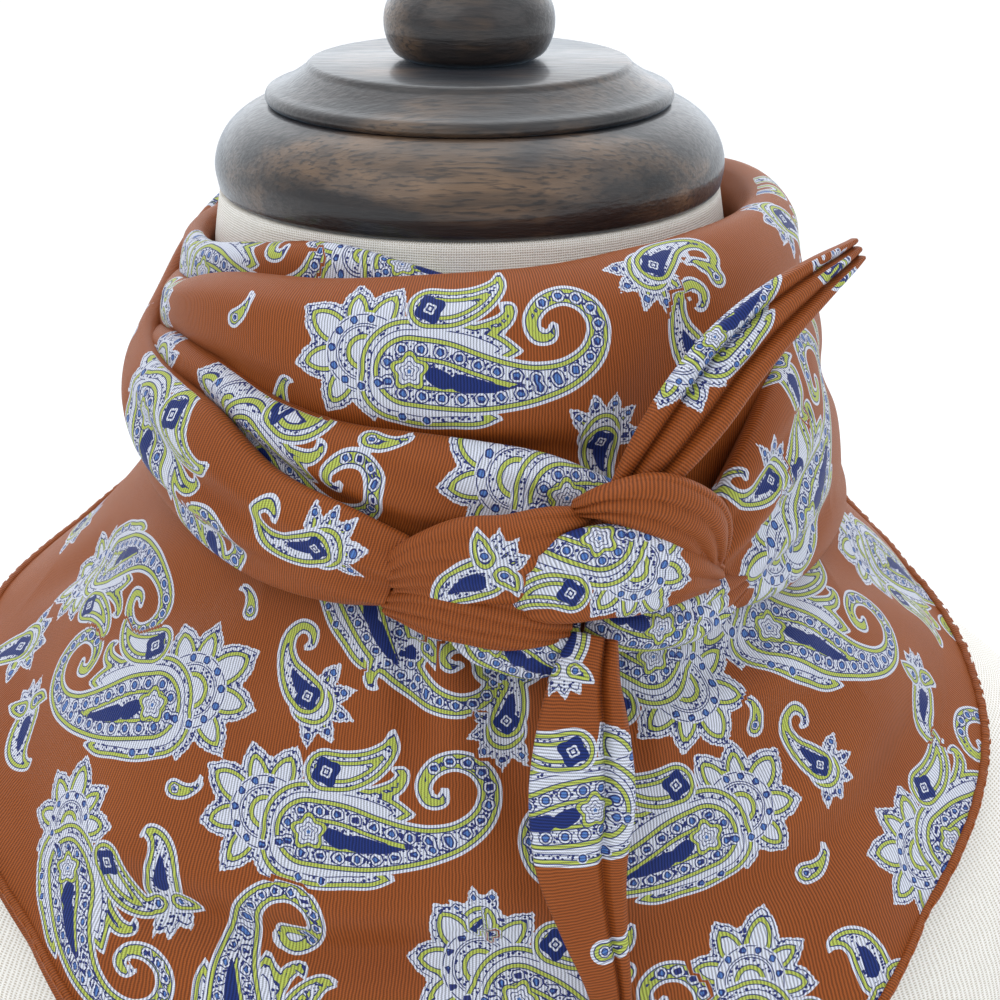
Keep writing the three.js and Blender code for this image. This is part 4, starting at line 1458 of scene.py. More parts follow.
@dataclass
class RolledHem:
    """A hand-rolled hem with its slip stitches.

    Attributes:
        name: The CAD node it stands for.
        start: Share of the bib's edge where it starts.
        end: Share where it ends.
        radius: Radius of the roll, in millimetres.
        stitch_pitch: Distance between its stitches.
        stitch_length: Length of a stitch.
        stitch_radius: Radius of its thread.
    """

    name: str
    start: float
    end: float
    radius: float = 1.1
    stitch_pitch: float = 3.2
    stitch_length: float = 1.5
    stitch_radius: float = 0.16

    def build(self, bib: Bib, silk: bpy.types.Material) -> bpy.types.Object:
        """Makes the roll with its stitches.

        Args:
            bib: The sheet it borders.
            silk: The stitches' finish.

        Returns:
            The hem.
        """
        line = bib.hem_line(self.start, self.end, 421, self.radius * 0.72)
        tangent = unit(np.gradient(line, axis=0))
        out = unit(line * np.array([1.0, 1.0, 0.0]))
        across = unit(np.cross(tangent, out))
        out = np.cross(across, tangent)
        theta = np.linspace(0, 2 * np.pi, 14, endpoint=False)[None, :, None]
        length = running_length(line, 0)[:, None, None]
        lumpy = 1 + 0.05 * np.sin(length * 1.3) + 0.04 * np.sin(length * 0.47 + 1.0)
        ring = across[:, None] * np.cos(theta) + out[:, None] * np.sin(theta)
        grid = ClothGrid(line[:, None] + ring * self.radius * lumpy, True)
        roll = closed_roll(f"{self.name}_roll", grid, ())
        roll.data.materials.append(silk)
        stitches = StitchRow(self.stitch_pitch, self.stitch_length, self.stitch_radius)
        made = stitches.build(f"{self.name}_stitches", line + out * self.radius * 1.02 - across * 0.4, silk)
        return joined([roll, made], f"{self.name}_roll")

    def dress(self, roll: bpy.types.Object) -> None:
        """Hangs the hem on the body and hides the solid it stands for; its finish is on it already."""
        place_piece(roll, self.name)


def dress_folded(
    piece: bpy.types.Object, node: str, silk: bpy.types.Material
) -> None:
    """Gives a folded stretch of the knot its finish, hides the solid it stands for and hangs it on the body.

    Args:
        piece: The strap or tail.
        node: The CAD node it stands for.
        silk: Its finish.
    """
    place_piece(piece, node, silk)


def joined(objects: list[bpy.types.Object], name: str) -> bpy.types.Object:
    """Joins objects into the first one."""
    with bpy.context.temp_override(active_object=objects[0], selected_editable_objects=objects):
        bpy.ops.object.join()
    objects[0].name = name
    return objects[0]


@dataclass(frozen=True)
class StitchRow:
    """A row of small stitches along a line, laid by Geometry Nodes.

    Attributes:
        pitch: Distance between stitches, in millimetres.
        length: Length of one.
        radius: Radius of its thread.
    """

    pitch: float
    length: float
    radius: float

    def sizes(self) -> dict[str, float]:
        """The sizes that the node tree takes, in millimetres."""
        return {"Pitch": self.pitch, "Length": self.length, "Radius": self.radius}

    def tree(self, silk: bpy.types.Material) -> bpy.types.NodeTree:
        """Builds the node tree that lays stitches on a curve."""
        tree = bpy.data.node_groups.new("stitch_row", "GeometryNodeTree")
        face = tree.interface
        face.new_socket("Line", in_out="INPUT", socket_type="NodeSocketGeometry")
        for label in self.sizes():
            face.new_socket(label, in_out="INPUT", socket_type="NodeSocketFloat")
        face.new_socket("Stitches", in_out="OUTPUT", socket_type="NodeSocketGeometry")
        kinds = {
            "given": "NodeGroupInput", "resample": "GeometryNodeResampleCurve",
            "thread": "GeometryNodeMeshCylinder", "place": "GeometryNodeInstanceOnPoints",
            "tangent": "GeometryNodeInputTangent", "align": "FunctionNodeAlignRotationToVector",
            "real": "GeometryNodeRealizeInstances", "finish": "GeometryNodeSetMaterial",
            "out": "NodeGroupOutput",
        }
        node = {key: tree.nodes.new(kind) for key, kind in kinds.items()}
        node["resample"].mode = "LENGTH"
        node["align"].axis = "Z"
        node["thread"].inputs["Vertices"].default_value = 6
        node["finish"].inputs["Material"].default_value = silk
        links = (
            ("given", "Line", "resample", "Curve"), ("given", "Pitch", "resample", "Length"),
            ("given", "Radius", "thread", "Radius"), ("given", "Length", "thread", "Depth"),
            ("resample", "Curve", "place", "Points"), ("thread", "Mesh", "place", "Instance"),
            ("tangent", "Tangent", "align", "Vector"), ("align", "Rotation", "place", "Rotation"),
            ("place", "Instances", "real", "Geometry"), ("real", "Geometry", "finish", "Geometry"),
            ("finish", "Geometry", "out", "Stitches"),
        )
        for source, output, target, entry in links:
            tree.links.new(node[source].outputs[output], node[target].inputs[entry])
        return tree

    def build(self, name: str, line: Array, silk: bpy.types.Material) -> bpy.types.Object:
        """Lays the stitches on a line.

        Args:
            name: The object's name.
            line: Points in millimetres from the seam.
            silk: Their finish.

        Returns:
            A plain mesh object.
        """
        curve = bpy.data.curves.new(name + "_line", "CURVE")
        curve.dimensions = "3D"
        path = curve.splines.new("POLY")
        path.points.add(len(line) - 1)
        placed = line * MM + np.array([0.0, 0.0, SEAM])
        for point, place in zip(path.points, placed):
            point.co = (*place, 1.0)
        carrier = bpy.data.objects.new(name + "_line", curve)
        bpy.context.scene.collection.objects.link(carrier)
        modifier = carrier.modifiers.new("stitches", "NODES")
        modifier.node_group = self.tree(silk)
        sockets = {item.name: item.identifier for item in modifier.node_group.interface.items_tree}
        for label, value in self.sizes().items():
            modifier[sockets[label]] = value * MM
        graph = bpy.context.evaluated_depsgraph_get()
        mesh = bpy.data.meshes.new_from_object(carrier.evaluated_get(graph), depsgraph=graph)
        mesh.name = name
        made = bpy.data.objects.new(name, mesh)
        bpy.context.scene.collection.objects.link(made)
        bpy.data.objects.remove(carrier)
        return made


# ---------------------------------------------------------------- the square knot
@dataclass
class KnotStrap:
    """One folded strap of the square knot.

    Attributes:
        name: The CAD node it stands for.
        rows: Places along it: azimuth, radius, height, width and thickness.
        pleats: Soft pleats across its face.
        groove: Depth of the pleats.
        flat: Length and width of the cloth that shows, in metres; not used.
        prints: Motifs on it.
    """

    name: str
    rows: Sequence[Row]
    pleats: float
    groove: float
    flat: tuple[float, float]
    prints: Sequence[Print] = ()
    lines: int = 130
    count: int = 120

    def build(self) -> bpy.types.Object:
        """Makes the strap."""
        rows = rows_at(self.rows, self.lines)
        line = round_neck(rows[:, 0], rows[:, 1], rows[:, 2])
        tangent = unit(np.gradient(line, axis=0))
        out = unit(line * np.array([1.0, 1.0, 0.0]))
        across = unit(np.cross(tangent, out))
        out = np.cross(across, tangent)
        theta = np.linspace(0, 2 * np.pi, self.count, endpoint=False)
        t = np.linspace(0, 1, self.lines)[:, None]
        side = np.cos(theta)[None, :]
        rise = np.sign(np.sin(theta)) * np.abs(np.sin(theta)) ** 0.8
        face = np.clip(rise, 0, 1)[None, :]
        phase = 2 * np.pi * self.pleats * (side * 0.5 + 0.13 * np.sin(3.1 * t + 1.0)) + 1.1
        ridged = 0.5 - 0.5 * np.abs(np.sin(phase / 2)) ** 0.7
        sink = self.groove * ridged * face
        half_width, half_thick = rows[:, 3:4] / 2, rows[:, 4:5] / 2
        wave = 1 + 0.04 * np.sin(5 * np.pi * t + 4 * side)
        points = (
            line[:, None]
            + across[:, None] * (half_width * side * wave)[..., None]
            + out[:, None] * (half_thick * rise[None, :] - sink)[..., None]
        )
        return closed_roll(f"{self.name}_strap", ClothGrid(points, True), self.prints)

    def dress(self, piece: bpy.types.Object, silk: bpy.types.Material) -> None:
        """Gives the strap its finish, hides the solid it stands for and hangs it on the body."""
        dress_folded(piece, self.name, silk)


KNOT_TOP = (
    (10.5, 106, -39, 3, 3.5), (13.5, 110, -37, 8, 7), (18, 112, -38, 13, 8),
    (22.5, 111, -43, 14, 8), (25.5, 107, -51, 9, 7), (26.5, 103, -57, 4, 4),
)
KNOT_FRONT = (
    (3.5, 104, -58, 4, 4), (6.5, 109, -55, 13, 8), (11, 111.5, -51, 19, 9),
    (16, 112, -50, 19, 9), (21.5, 110, -53, 14, 8), (27, 105, -58, 6, 5),
)
KNOT_MAIN = (
    (-8.5, 103, -53.5, 8, 6), (-5, 105, -51, 14, 8), (0, 107, -49, 18, 9),
    (5, 108, -47.5, 18, 9), (10, 107, -45, 14, 7), (14, 104, -42, 7, 4),
)
KNOT_LEFT = (
    (-9.5, 102.5, -60, 5, 4), (-5, 105, -59.5, 10.5, 7), (0, 106.5, -60.5, 12, 8),
    (5.5, 107, -62, 11, 7), (10, 106, -63.5, 7, 5),
)
KNOT_LOWER = ((-3, 102, -65, 4, 3), (1.5, 104, -68, 9, 5), (6.5, 105.5, -69.5, 10, 6), (11.5, 106, -67, 8, 6))
KNOT_RIGHT = (
    (33, 100.5, -64, 5, 4), (28, 103, -65, 11, 6), (22, 104.5, -66, 13, 7),
    (16, 105, -65.5, 10, 6), (12, 104, -64, 6, 5),
)


# ---------------------------------------------------------------- the two tails
TAIL_UP = (
    (15.5, 107.5, -38, 0.95, 0.3, 8, 3),
    (19, 107.5, -30, 0.9, 0.42, 12.5, 4),
    (23.5, 106, -21.5, 0.84, 0.54, 15, 4.4),
    (28.5, 104.4, -13.5, 0.78, 0.62, 14.5, 4.2),
    (34.5, 103, -7.4, 0.7, 0.72, 12.5, 3.6),
    (42, 102, -2.6, 0.62, 0.78, 9, 3),
    (50, 101, 0.2, 0.5, 0.86, 5.2, 2.6),
)
TAIL_DOWN = (
    (12.2, 135, -151, 1, 0.1, 4.4, 2.4),
    (12, 133, -140, 1, 0.08, 6.4, 2.6),
    (11.4, 130.6, -129, 1, 0.05, 9.4, 2.8),
    (10.4, 127.4, -118, 1, 0.02, 13.5, 3),
    (9.6, 124, -106, 1, 0, 18, 3.2),
    (9.9, 121, -94, 1, 0, 20.5, 3.6),
    (10.3, 117.5, -83, 1, 0, 18.5, 4.4),
    (11, 113, -73, 1, 0.02, 14, 4.6),
    (12.5, 109, -65, 1, 0.05, 9, 4),
)
LEAF_UP = (
    (-1, -0.3), (-0.97, 0.35), (-0.84, 0.95), (-0.66, 0.95), (-0.46, 0.35), (-0.38, -0.35), (-0.28, 0.4),
    (-0.08, 1.0), (0.14, 0.95), (0.32, 0.25), (0.4, -0.4), (0.5, 0.3), (0.68, 1.0), (0.88, 0.9), (0.98, 0.3),
    (1, -0.35), (0.7, -1), (0.3, -1.05), (0, -1), (-0.4, -1.05), (-0.75, -1),
)
LEAF_DOWN = (
    (-1, -0.35), (-0.97, 0.3), (-0.82, 0.62), (-0.5, 0.85), (-0.2, 0.95), (0.1, 0.9), (0.32, 0.62),
    (0.42, -0.1), (0.46, -0.5), (0.54, -0.1), (0.66, 0.5), (0.86, 0.75), (0.98, 0.3), (1, -0.35),
    (0.7, -1), (0.3, -1.05), (0, -1), (-0.4, -1.05), (-0.75, -1),
)


@dataclass
class Tail:
    """A loose end of the knot, folded along its length into a narrow leaf.

    Attributes:
        name: The CAD node it stands for.
        rows: Places along it: azimuth, radius, height, tilts, width and depth.
        leaf: Its section, as shares of half its width and half its depth.
        flat: Length and width of the cloth that shows, in metres; not used.
        prints: Motifs on it.
    """

    name: str
    rows: Sequence[Row]
    leaf: Sequence[Row]
    flat: tuple[float, float]
    prints: Sequence[Print] = ()
    lines: int = 140
    count: int = 150

    def build(self) -> bpy.types.Object:
        """Makes the leaf."""
        rows = rows_at(self.rows, self.lines)
        line = round_neck(rows[:, 0], rows[:, 1], rows[:, 2])
        tangent = unit(np.gradient(line, axis=0))
        side = np.stack([rows[:, 3], np.zeros(self.lines), -rows[:, 4]], axis=-1)
        side = unit(side - tangent * np.sum(side * tangent, axis=-1, keepdims=True))
        out = np.cross(side, tangent)
        shape = np.array([*self.leaf, *self.leaf[:3]], float)
        step = np.linalg.norm(np.diff(shape, axis=0) * np.array([1.0, 0.35]), axis=1)
        knots = np.concatenate([[0.0], np.cumsum(step)])
        turn = len(self.leaf)
        section = spline(knots, shape, np.linspace(knots[1], knots[turn + 1], self.count, endpoint=False))
        width, depth = rows[:, 5, None, None] / 2, rows[:, 6, None, None] / 2
        points = (
            line[:, None]
            + side[:, None] * section[None, :, :1] * width
            + out[:, None] * section[None, :, 1:] * depth
        )
        return closed_roll(f"{self.name}_leaf", ClothGrid(points, True), self.prints)

    def dress(self, piece: bpy.types.Object, silk: bpy.types.Material) -> None:
        """Gives the tail its finish, hides the solid it stands for and hangs it on the body."""
        dress_folded(piece, self.name, silk)


# ---------------------------------------------------------------- the dress form
@dataclass
class DressForm:
    """The linen form with its turned wooden cap, standing on an oval plinth.

    Attributes:
        around: Points round each turned piece.
        cap: Radius and height from the seam of the cap's profile.
        step: The same, of the step on it.
        finial: The same, of the knob.
        plinth_half: Half the plinth's width and depth.
        plinth_height: Its height.
        plinth_bevel: Size of its rounded edges.
    """

    around: int = 192
    cap: Sequence[Row] = (
        (56.6, 0.0), (57.4, 0.5), (57.9, 2.2), (58.3, 5.4),
        (57.6, 9), (55.6, 12.8), (52, 16.2), (47.2, 18.7),
    )
    step: Sequence[Row] = (
        (45.7, 19), (46.4, 20), (46, 21.4), (43.4, 22.6), (40.4, 24.2),
        (38, 25.8), (36.9, 26.6), (36.6, 27.2), (35.6, 27.7),
    )
    finial: Sequence[Row] = (
        (14.5, 28), (16.8, 29.2), (18.5, 32), (19.3, 36), (18.6, 40), (16, 43.6), (11, 46), (5, 47.1),
    )
    plinth_half: tuple[float, float] = (128.0, 98.0)
    plinth_height: float = 20.0
    plinth_bevel: float = 3.0

    def lathe(self, name: str, profile: Sequence[Row], squash: Row = (1.0, 1.0)) -> bpy.types.Object:
        """Turns a profile of radius and height round the neck's axis.

        Args:
            name: The piece's name.
            profile: Radius and height from the seam, from the bottom up.
            squash: Scale across and in depth.

        Returns:
            A closed solid.
        """
        rows = np.array(profile, float)
        step = np.linalg.norm(np.diff(rows, axis=0), axis=1)
        knots = np.concatenate([[0.0], np.cumsum(step)])
        fine = spline(knots, rows, np.linspace(0, knots[-1], max(24, int(knots[-1] / 0.7))))
        fine = np.concatenate([[(2.0, fine[0, 1])], fine, [(2.0, fine[-1, 1])]])
        angle = np.linspace(0, 2 * np.pi, self.around, endpoint=False)
        x = fine[:, :1] * np.cos(angle) * squash[0]
        y = fine[:, :1] * np.sin(angle) * squash[1]
        z = np.broadcast_to(fine[:, 1:], x.shape)
        grid = ClothGrid(np.stack([x, y, z], axis=-1), True)
        return closed_roll(name, grid, ())

    def build_body(self) -> bpy.types.Object:
        """Makes the linen body."""
        table = np.array(FORM_ROWS, float)
        heights = np.linspace(table[0, 0], table[-1, 0], 181)
        rows = spline(table[:, 0], table, heights)
        angle = np.linspace(0, 2 * np.pi, self.around, endpoint=False)
        depth = np.where(np.sin(angle) > 0, rows[:, 3:4], rows[:, 2:3])
        x = rows[:, 1:2] * np.cos(angle)
        y = depth * np.sin(angle)
        z = np.broadcast_to(rows[:, :1] - SEAM_HEIGHT, x.shape)
        return closed_roll(FORM_PIECE, ClothGrid(np.stack([x, y, z], axis=-1), True), ())

    def build(self, linen: bpy.types.Material, wood: bpy.types.Material) -> list[bpy.types.Object]:
        """Makes and dresses every piece of the form."""
        body = self.build_body()
        place_piece(body, "linen_body", linen)
        bottom, height, bevel = -SEAM_HEIGHT, self.plinth_height, self.plinth_bevel
        long, short = self.plinth_half
        board = [
            (long - bevel, bottom), (long - 0.3 * bevel, bottom + 0.3 * bevel), (long, bottom + bevel),
            (long, bottom + height / 2), (long, bottom + height - bevel),
            (long - 0.3 * bevel, bottom + height - 0.3 * bevel), (long - bevel, bottom + height),
        ]
        turned = [
            (self.lathe("cap_turning", self.cap), "neck_cap"),
            (self.lathe("step_turning", self.step), "cap_step"),
            (self.lathe("finial_turning", self.finial), "finial"),
            (self.lathe("plinth_board", board, (1.0, short / long)), "plinth"),
        ]
        for piece, node in turned:
            place_piece(piece, node, wood)
        return [body, *[piece for piece, _ in turned]]


# ---------------------------------------------------------------- camera, light and floor
@dataclass
class Studio:
    """A pale floor, soft light and the camera.

    Attributes:
        camera_at: The camera's place.
        pitch: Its tilt from straight down, in degrees.
        yaw: Its turn.
        lens: Its focal length in millimetres, on a 36 mm sensor.
        window: Strength of the light from behind the form.
        sky: Strength of the light from above.
        room: Strength of the light from all round.
        floor_half: Half the floor's side, in metres.
        floor_gap: How far the floor lies under the plinth.
    """

    camera_at: tuple[float, float, float] = (0.0, -0.435, 0.449)
    pitch: float = 67.6
    yaw: float = -0.9046
    lens: float = 68.4
    window: float = 1.5
    sky: float = 0.6
    room: float = 0.5
    floor_half: float = 40.0
    floor_gap: float = 0.0005

    def build(self) -> None:
        """Sets up the camera, the lights, the world and the floor."""
        lens = bpy.data.cameras.new("camera")
        lens.lens = self.lens
        lens.sensor_width = 36.0
        lens.clip_start = 0.01
        camera = bpy.data.objects.new("camera", lens)
        camera.location = self.camera_at
        camera.rotation_euler = (math.radians(self.pitch), 0.0, math.radians(self.yaw))
        bpy.context.scene.collection.objects.link(camera)
        bpy.context.scene.camera = camera
        self.light("key", (-0.75, -0.75, 1.25), 1.1, 3.6, (1.0, 0.985, 0.965))
        self.light("fill", (0.95, -0.55, 0.85), 0.9, 1.5, (0.95, 0.975, 1.0))
        self.light("top", (0.05, 0.45, 1.5), 1.2, 1.6, (0.97, 0.985, 1.0))
        self.daylight()
        bpy.context.scene.view_settings.view_transform = "Standard"
        self.floor()

    def daylight(self) -> None:
        """Surrounds the form with pale light, stronger from above and from the window behind it."""
        world = bpy.data.worlds.new("studio")
        world.use_nodes = True
        tree = world.node_tree
        background = tree.nodes["Background"]
        background.inputs["Color"].default_value = (0.93, 0.965, 1.0, 1.0)
        split = tree.nodes.new("ShaderNodeSeparateXYZ")
        tree.links.new(tree.nodes.new("ShaderNodeTexCoord").outputs["Generated"], split.inputs[0])
        back, above = Socket(tree, split.outputs[1]), Socket(tree, split.outputs[2])
        strength = back.most(0.0) * self.window + above.most(0.0) * self.sky + self.room
        tree.links.new(strength.link, background.inputs["Strength"])
        bpy.context.scene.world = world

    @staticmethod
    def light(name: str, place: tuple[float, float, float], size: float, power: float, tint: Colour) -> None:
        """Adds a square light that faces the cloth."""
        lamp = bpy.data.lights.new(name, "AREA")
        lamp.size = size
        lamp.energy = power
        lamp.color = tint
        made = bpy.data.objects.new(name, lamp)
        made.location = place
        aim = Vector((0.0, -0.05, SEAM - 0.05)) - Vector(place)
        made.rotation_euler = aim.to_track_quat("-Z", "Y").to_euler()
        bpy.context.scene.collection.objects.link(made)

    def floor(self) -> None:
        """Lays the pale floor."""
        half, below = self.floor_half, FLOOR - self.floor_gap
        mesh = bpy.data.meshes.new("floor")
        corners = [(-half, -half, below), (half, -half, below), (half, half, below), (-half, half, below)]
        mesh.from_pydata(corners, [], [(0, 1, 2, 3)])
        floor = bpy.data.objects.new("floor", mesh)
        bpy.context.scene.collection.objects.link(floor)
        s = Shader("pale_floor")
        cloud = s.node("ShaderNodeTexNoise", None, "Fac", Scale=3.0)
        s.set(Base_Color=s.blend(cloud, (0.9, 0.9, 0.9), (0.95, 0.95, 0.95)), Roughness=0.9)
        floor.data.materials.append(s.material)


# ---------------------------------------------------------------- the whole
def knots() -> list[KnotStrap]:
    """The straps of the square knot."""
    front = [Print(GRAND_PAISLEY, 12, -42, 165, 0.95)]
    main_prints = [Print(LEAF_PAISLEY, 1, -50, 140, 1.0)]
    lower = [Print(GRAND_PAISLEY, 2, -66, -20, 0.9)]
    right = [Print(GRAND_PAISLEY, 20, -66, 170, 0.95)]
    return [
        KnotStrap("knot_top", KNOT_TOP, 3.5, 2.2, (0.028, 0.021)),
        KnotStrap("knot_front", KNOT_FRONT, 3.0, 2.0, (0.044, 0.023), front),
        KnotStrap("knot_main", KNOT_MAIN, 5.0, 1.7, (0.042, 0.019), main_prints),
        KnotStrap("knot_left", KNOT_LEFT, 4.0, 1.7, (0.037, 0.0145)),
        KnotStrap("knot_lower", KNOT_LOWER, 2.5, 1.3, (0.027, 0.011), lower),
        KnotStrap("knot_right", KNOT_RIGHT, 3.0, 1.8, (0.038, 0.014), right),
    ]


def tails() -> list[Tail]:
    """The two loose ends."""
    up = [Print(GRAND_PAISLEY, 26, -9, 48, 0.75), Print(HOOK_PAISLEY, 45, -2, 60, 0.5)]
    down = [
        Print(GRAND_PAISLEY, 11, -95, 180, -1.0), Print(COMMA, 11, -123, 0, 0.9),
        Print(LEAF_PAISLEY, 9, -68, 20, 0.8),
    ]
    return [
        Tail("tail_up", TAIL_UP, LEAF_UP, (0.085, 0.0155), up),
        Tail("tail_down", TAIL_DOWN, LEAF_DOWN, (0.092, 0.0165), down),
    ]


FRONT_BAND_PRINTS = (
    Print(COMMA, -34, -12, 35, 0.7), Print(GRAND_PAISLEY, -8, -17, 2, 1.03),
    Print(HOOK_PAISLEY, 27, -1, -100, 1.0), Print(HOOK_PAISLEY, 16, -32, 45, -0.95),
    Print(HOOK_PAISLEY, 31, -20, -15, 1.0), Print(COMMA, 37, -5, 100, 0.8),
    Print(LEAF_PAISLEY, 52, -22, -150, 0.9), Print(HOOK_PAISLEY, 66, -2, -170, 1.0),
    Print(GRAND_PAISLEY, 84, -24, 80, 1.0), Print(COMMA, 104, -8, 20, 0.9),
    Print(HOOK_PAISLEY, 116, -28, 150, 1.0), Print(LEAF_PAISLEY, -60, -18, 100, 1.0),
    Print(COMMA, -76, -26, -60, 0.8), Print(COMMA, -26, -29, 110, -0.9),
)
INNER_ROLL_PRINTS = (
    Print(GRAND_PAISLEY, -58, -12, 8, 1.0), Print(GRAND_PAISLEY, -12, 0, -12, 0.85),
    Print(HOOK_PAISLEY, 18, -16, 120, 1.0), Print(LEAF_PAISLEY, -98, -16, 80, 1.0),
)
LEFT_FOLD_PRINTS = (
    Print(GRAND_PAISLEY, 10, -39, -3, 1.08), Print(COMMA, -12, -29, -20, 0.9),
    Print(GRAND_PAISLEY, -29, -34, -30, 0.85), Print(HOOK_PAISLEY, -50, -28, 120, 0.9),
    Print(LEAF_PAISLEY, -70, -34, -80, 0.9),
)
LEFT_WRAP_PRINTS = (
    Print(GRAND_PAISLEY, -46, -34, -60, 1.0), Print(HOOK_PAISLEY, -17, -49, 55, 0.95),
    Print(LEAF_PAISLEY, -34, -54, 0, -0.9), Print(GRAND_PAISLEY, -76, -44, -100, 0.95),
    Print(HOOK_PAISLEY, -98, -28, 140, 1.0), Print(COMMA, -104, -52, 20, 0.9),
    Print(GRAND_PAISLEY, -134, -30, 15, 1.0), Print(LEAF_PAISLEY, -150, -46, 70, -0.9),
    Print(GRAND_PAISLEY, -172, -22, 185, -1.0), Print(HOOK_PAISLEY, -196, -32, 30, 1.0),
)
RIGHT_WRAP_PRINTS = (
    Print(HOOK_PAISLEY, 38, -44, 65, 0.85), Print(LEAF_PAISLEY, 47, -27, -157, 0.9),
    Print(GRAND_PAISLEY, 47, -58, 40, 1.1), Print(COMMA, 66, -28, 60, 0.9),
    Print(HOOK_PAISLEY, 82, -54, -60, 1.0), Print(GRAND_PAISLEY, 112, -38, 190, 1.0),
    Print(LEAF_PAISLEY, 118, -60, -20, 1.0), Print(COMMA, 136, -44, -30, 0.9),
    Print(GRAND_PAISLEY, 154, -54, 75, -1.0), Print(HOOK_PAISLEY, 186, -50, 20, 1.0),
    Print(GRAND_PAISLEY, 216, -48, -170, 1.0),
)
BIB_PRINTS = (
    Print(GRAND_PAISLEY, -38, -91, -166, -1.08), Print(HOOK_PAISLEY, -19, -82, 8, 0.95),
    Print(HOOK_PAISLEY, -73, -103, 7, -1.1), Print(LEAF_PAISLEY, -60, -108, -126, 1.0),
    Print(COMMA, -32, -103, -10, 0.75), Print(GRAND_PAISLEY, -42, -124, -45, 0.95),
    Print(LEAF_PAISLEY, -31, -122, 20, 1.0), Print(GRAND_PAISLEY, -17, -107, 3, 1.02),
    Print(GRAND_PAISLEY, -22, -149, 88, -0.95), Print(COMMA, -17, -128, 165, 0.8),
    Print(HOOK_PAISLEY, 1, -125, 160, 0.85), Print(GRAND_PAISLEY, 4, -138, -20, 1.05),
    Print(LEAF_PAISLEY, -7, -73, 156, 0.9), Print(HOOK_PAISLEY, 4, -87, -150, -0.9),
    Print(COMMA, -29, -71, 100, 0.7), Print(GRAND_PAISLEY, -14, -62, -45, 0.9),
    Print(GRAND_PAISLEY, 24, -111, -172, -1.0), Print(GRAND_PAISLEY, 52, -129, 15, 1.05),
    Print(GRAND_PAISLEY, 25, -148, -75, 1.0), Print(GRAND_PAISLEY, 22, -78, 150, 1.0),
    Print(HOOK_PAISLEY, 39, -104, -8, 0.85), Print(COMMA, 33, -95, 70, 0.8),
    Print(COMMA, 34, -123, 0, 0.85), Print(LEAF_PAISLEY, 62, -105, 150, 1.0),
    Print(LEAF_PAISLEY, 37, -142, 40, 1.0), Print(GRAND_PAISLEY, 41, -80, -25, 1.1),
    Print(GRAND_PAISLEY, 80, -88, -60, -1.0), Print(GRAND_PAISLEY, -66, -80, 30, -0.95),
    Print(HOOK_PAISLEY, -92, -88, 60, 1.0), Print(GRAND_PAISLEY, -114, -74, -150, 0.9),
    Print(HOOK_PAISLEY, 106, -84, 200, 1.0), Print(GRAND_PAISLEY, 120, -74, -20, -0.9),
    Print(GRAND_PAISLEY, 2, -184, 100, 1.0), Print(HOOK_PAISLEY, -14, -172, -40, 1.0),
)


FRONT_BAND_CREASES = (
    Crease(((-66, -30), (-50, -24), (-34, -22), (-20, -25)), 3.2, 1.8),
    Crease(((18, -40), (24, -24), (33, -6)), 7, 2.6),
    Crease(((-58, -14), (-40, -10), (-24, -9)), 4, -1.2),
    Crease(((46, -40), (62, -30), (84, -26)), 6, 2.2),
    Crease(((70, -10), (92, -16), (116, -20)), 5, 1.8),
    Crease(((-6, -35), (10, -33), (20, -38)), 4, 2.2),
)
LEFT_FOLD_CREASES = (
    Crease(((-44, -26), (-30, -34), (-16, -42), (0, -47)), 3, 2.2),
    Crease(((-20, -30), (-4, -38), (8, -44)), 3.2, 1.6),
    Crease(((2, -34), (8, -40), (14, -46)), 2.4, 1.8),
    Crease(((-78, -34), (-62, -32), (-50, -28)), 3, 1.4),
)
LEFT_WRAP_CREASES = (
    Crease(((-62, -46), (-44, -51), (-28, -56), (-14, -57)), 3.6, 2.6),
    Crease(((-52, -33), (-36, -41), (-22, -48), (-12, -53)), 3, 2.2),
    Crease(((-70, -30), (-54, -36), (-40, -46)), 4, -1.6),
    Crease(((-120, -22), (-96, -32), (-78, -44)), 5, 2.2),
    Crease(((-130, -48), (-108, -50), (-88, -54)), 4, 1.8),
    Crease(((-205, -18), (-180, -30), (-150, -36)), 5, 2.4),
    Crease(((-176, -12), (-150, -18), (-128, -26)), 4.5, 1.8),
)
RIGHT_WRAP_CREASES = (
    Crease(((30, -60), (40, -52), (54, -46)), 3.6, 3),
    Crease(((30, -64), (42, -64), (60, -61)), 3.4, 2.6),
    Crease(((32, -50), (42, -40), (52, -34)), 4, 2.2),
    Crease(((62, -32), (84, -44), (106, -54)), 6, 2.4),
    Crease(((76, -62), (96, -60), (120, -62)), 4, 1.8),
    Crease(((110, -34), (136, -44), (164, -46)), 5, 2.2),
    Crease(((150, -60), (180, -56), (210, -52)), 4.5, 2.2),
    Crease(((186, -42), (208, -44), (228, -40)), 4, 1.6),
)
